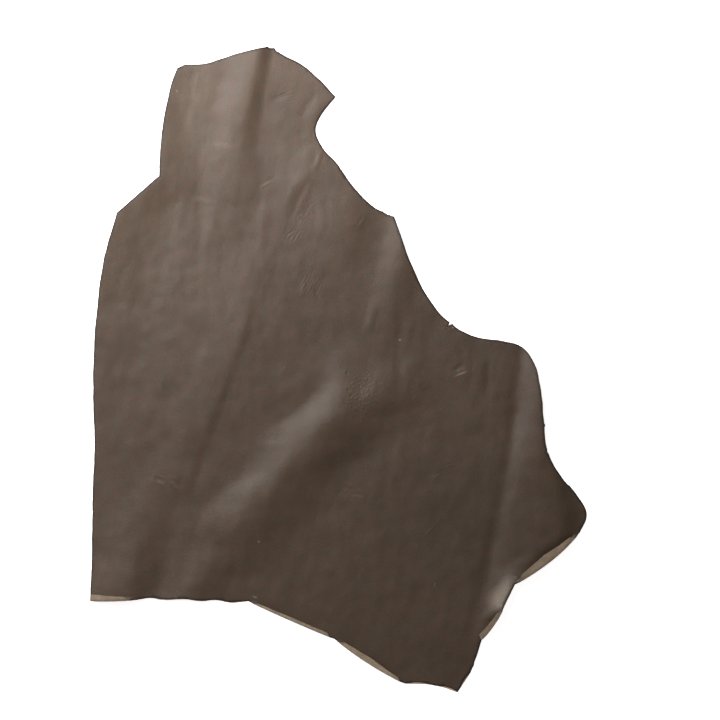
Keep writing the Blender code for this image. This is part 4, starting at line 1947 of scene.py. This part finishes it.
@dataclass
class EdgeNap:
    """Fine loose fibres on the flesh side and the cut edge, where the edge curls over.

    Attributes:
        density: fibres a square metre.
        length: length of a fibre.
        girth: radius of a fibre at its root.
        lean: how far a fibre may lean, in degrees.
        seed: seed of the fibres' places.
    """

    density: float = 160000.0
    length: float = 1.1
    girth: float = 0.07
    lean: float = 62.0
    seed: int = 5

    SHORTEST = 0.35
    ROOT_DEPTH = 0.12

    def ground(self, hide: bpy.types.Object) -> bpy.types.Object:
        """Copy the curled flesh and its cut edge, on which the fibres stand.

        Args:
            hide: the finished hide.

        Returns:
            An object that holds only those faces.
        """
        rolled = np.zeros(len(hide.data.vertices), dtype=np.float32)
        hide.data.attributes["rolled"].data.foreach_get("value", rolled)
        faces = [
            list(face.vertices)
            for face in hide.data.polygons
            if face.material_index != Side.GRAIN and all(rolled[v] for v in face.vertices)
        ]
        used = sorted({vertex for face in faces for vertex in face})
        place = {vertex: index for index, vertex in enumerate(used)}
        mesh = bpy.data.meshes.new("edge_nap_ground")
        points = [hide.data.vertices[vertex].co[:] for vertex in used]
        mesh.from_pydata(points, [], [[place[vertex] for vertex in face] for face in faces])
        return placed("edge_nap_ground", mesh)

    def tree(self) -> bpy.types.NodeTree:
        """Build the node tree that sets the fibres.

        Returns:
            The tree, with named inputs for the fibres' number, sizes and seed.
        """
        work = NodeWork(bpy.data.node_groups.new("edge_nap", "GeometryNodeTree"))
        socket = work.tree.interface.new_socket
        socket("Geometry", in_out="INPUT", socket_type="NodeSocketGeometry")
        for name in ("Density", "Length", "Shortest", "Girth", "Lean", "Root Depth"):
            socket(name, in_out="INPUT", socket_type="NodeSocketFloat")
        socket("Seed", in_out="INPUT", socket_type="NodeSocketInt")
        socket("Finish", in_out="INPUT", socket_type="NodeSocketMaterial")
        socket("Geometry", in_out="OUTPUT", socket_type="NodeSocketGeometry")
        given = work.node("NodeGroupInput").outputs
        seed = given["Seed"]

        spread = work.node("GeometryNodeDistributePointsOnFaces", Mesh=given["Geometry"])
        work.feed(spread.inputs["Density"], given["Density"])
        work.feed(spread.inputs["Seed"], seed)
        depth = work.node("ShaderNodeVectorMath", operation="SCALE")
        work.feed(depth.inputs[0], spread.outputs["Normal"])
        work.feed(depth.inputs["Scale"], work.math("MULTIPLY", given["Root Depth"], -1.0))
        rooted = work.node("GeometryNodeSetPosition", Geometry=spread.outputs["Points"])
        work.feed(rooted.inputs["Offset"], depth.outputs["Vector"])

        fibre = work.node("GeometryNodeMeshCone", Vertices=3, Radius_Top=0.0, Depth=given["Length"])
        work.feed(fibre.inputs["Radius Bottom"], given["Girth"])
        lean = work.node("FunctionNodeRandomValue", data_type="FLOAT_VECTOR", Seed=seed)
        work.feed(lean.inputs["Min"], work.math("MULTIPLY", given["Lean"], -1.0))
        work.feed(lean.inputs["Max"], given["Lean"])
        turning = work.node("FunctionNodeRotateRotation", rotation_space="LOCAL")
        work.feed(turning.inputs["Rotation"], spread.outputs["Rotation"])
        work.feed(turning.inputs["Rotate By"], lean.outputs["Value"])
        size = work.node("FunctionNodeRandomValue", Seed=seed)
        work.feed(size.inputs[2], given["Shortest"])
        work.feed(size.inputs[3], 1.0)

        sown = work.node("GeometryNodeInstanceOnPoints", Points=rooted.outputs["Geometry"])
        work.feed(sown.inputs["Instance"], fibre.outputs["Mesh"])
        work.feed(sown.inputs["Rotation"], turning.outputs["Rotation"])
        work.feed(sown.inputs["Scale"], size.outputs[1])
        real = work.node("GeometryNodeRealizeInstances", Geometry=sown.outputs["Instances"])
        finished = work.node("GeometryNodeSetMaterial", Geometry=real.outputs["Geometry"])
        work.feed(finished.inputs["Material"], given["Finish"])
        work.node("NodeGroupOutput", Geometry=finished.outputs["Geometry"])
        return work.tree

    def build(self, hide: bpy.types.Object, finish: bpy.types.Material) -> bpy.types.Object:
        """Make the fibres.

        Args:
            hide: the finished hide.
            finish: material of the fibres.

        Returns:
            The fibres as one plain mesh, linked to the scene.
        """
        ground = self.ground(hide)
        tree = self.tree()
        modifier = ground.modifiers.new("edge_nap", "NODES")
        modifier.node_group = tree
        values = {
            "Density": self.density,
            "Length": self.length * MM,
            "Shortest": self.SHORTEST,
            "Girth": self.girth * MM,
            "Lean": radians(self.lean),
            "Root Depth": self.ROOT_DEPTH * MM,
            "Seed": self.seed,
            "Finish": finish,
        }
        for item in tree.interface.items_tree:
            if item.in_out == "INPUT" and item.name in values:
                modifier[item.identifier] = values[item.name]
        bpy.context.view_layer.update()
        evaluated = ground.evaluated_get(bpy.context.evaluated_depsgraph_get())
        mesh = bpy.data.meshes.new_from_object(evaluated)
        mesh.name = "edge_nap"
        ground.modifiers.remove(modifier)
        bare = ground.data
        bpy.data.objects.remove(ground)
        bpy.data.meshes.remove(bare)
        bpy.data.node_groups.remove(tree)
        return placed("edge_nap", mesh)


@dataclass(frozen=True)
class Lamp:
    """A square light that faces the hide.

    Attributes:
        name: its name.
        place: its place, in metres.
        size: its side.
        power: its power, in watts.
        glossy: whether it shows in reflections.
    """

    name: str
    place: Triple
    size: float
    power: float
    glossy: bool

    def hang(self) -> None:
        """Hang the light in the scene."""
        lamp = bpy.data.lights.new(self.name, "AREA")
        lamp.shape = "SQUARE"
        lamp.size = self.size
        lamp.energy = self.power
        holder = placed(self.name, lamp)
        holder.location = self.place
        holder.visible_glossy = self.glossy
        holder.rotation_euler = (-Vector(self.place)).to_track_quat("-Z", "Y").to_euler()


@dataclass
class Studio:
    """The pale floor, the soft lights and the camera straight above.

    Attributes:
        view_width: width of the floor that the camera sees, in metres.
        view_x: middle of what it sees.
        view_y: middle of what it sees.
        lens: focal length, in millimetres on a 36 mm sensor.
        floor_size: side of the floor.
        lamps: the main light, up and to the left, and a weak one that fills the shadows.
        sky: strength of the even light from all round.
        floor_glow: strength of the floor's own soft light, which keeps it evenly pale.
    """

    view_width: float = 1.016
    view_x: float = 0.0303
    view_y: float = 0.0134
    lens: float = 110.0
    floor_size: float = 9.0
    lamps: tuple[Lamp, ...] = (
        Lamp("key_light", (-0.8, 0.8, 0.95), 1.2, 68.0, True),
        Lamp("fill_light", (0.9, -0.6, 2.2), 2.0, 7.0, False),
    )
    sky: float = 0.22
    floor_glow: float = 0.7

    SENSOR = 36.0
    WHITE = (1.0, 1.0, 1.0, 1.0)
    FLOOR_GREY = (0.92, 0.92, 0.92, 1.0)

    def floor(self) -> None:
        """Lay the plain pale floor."""
        half = self.floor_size / 2
        mesh = bpy.data.meshes.new("floor")
        corners = [(-half, -half, 0.0), (half, -half, 0.0), (half, half, 0.0), (-half, half, 0.0)]
        mesh.from_pydata(corners, [], [(0, 1, 2, 3)])
        shade = Shading("floor_paint")
        shade.dress(Base_Color=self.FLOOR_GREY, Roughness=0.9, Specular_IOR_Level=0.1)
        shade.dress(Emission_Color=self.WHITE, Emission_Strength=self.floor_glow)
        mesh.materials.append(shade.material)
        placed("floor", mesh)

    def camera(self) -> None:
        """Hang the camera straight above the hide."""
        eye = bpy.data.cameras.new("camera")
        eye.lens = self.lens
        eye.sensor_width = self.SENSOR
        holder = placed("camera", eye)
        holder.location = (self.view_x, self.view_y, self.view_width * self.lens / self.SENSOR)
        bpy.context.scene.camera = holder

    def build(self) -> None:
        """Set up the whole studio."""
        self.floor()
        for lamp in self.lamps:
            lamp.hang()
        world = bpy.data.worlds.new("studio_air")
        world.use_nodes = True
        sky = world.node_tree.nodes["Background"].inputs
        sky["Color"].default_value = self.WHITE
        sky["Strength"].default_value = self.sky
        bpy.context.scene.world = world
        bpy.context.scene.view_settings.view_transform = "Standard"
        self.camera()


def main() -> None:
    """Build the studio and the hide, hide the part's own mesh, and attach each piece to its body."""
    logging.basicConfig(level=logging.INFO, format="%(name)s: %(message)s")
    Studio().build()
    LOG.info("studio set up")

    pattern = CutPattern(OUTLINE, CURLS, EDGE_BUMPS)
    relief = GrainRelief(CREASES, MARKS, PATCHES, DARK_AREAS_AND_PAINTED_GLINT)
    finishes = {
        Side.GRAIN: GrainFinish().build(),
        Side.FLESH: FleshFinish().build(),
        Side.CUT: CutEdgeFinish().build(),
    }
    hide = Hide(pattern, Folds(FOLDS), relief, SLANTED_CUTS).build(finishes)
    LOG.info("%s: %d faces", hide.name, len(hide.data.polygons))
    nap = EdgeNap().build(hide, NapFinish().build())
    LOG.info("%s: %d faces", nap.name, len(nap.data.polygons))

    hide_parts(NODE)
    for piece in (hide, nap):
        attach(piece, BODY)


if __name__ == "__main__":
    main()
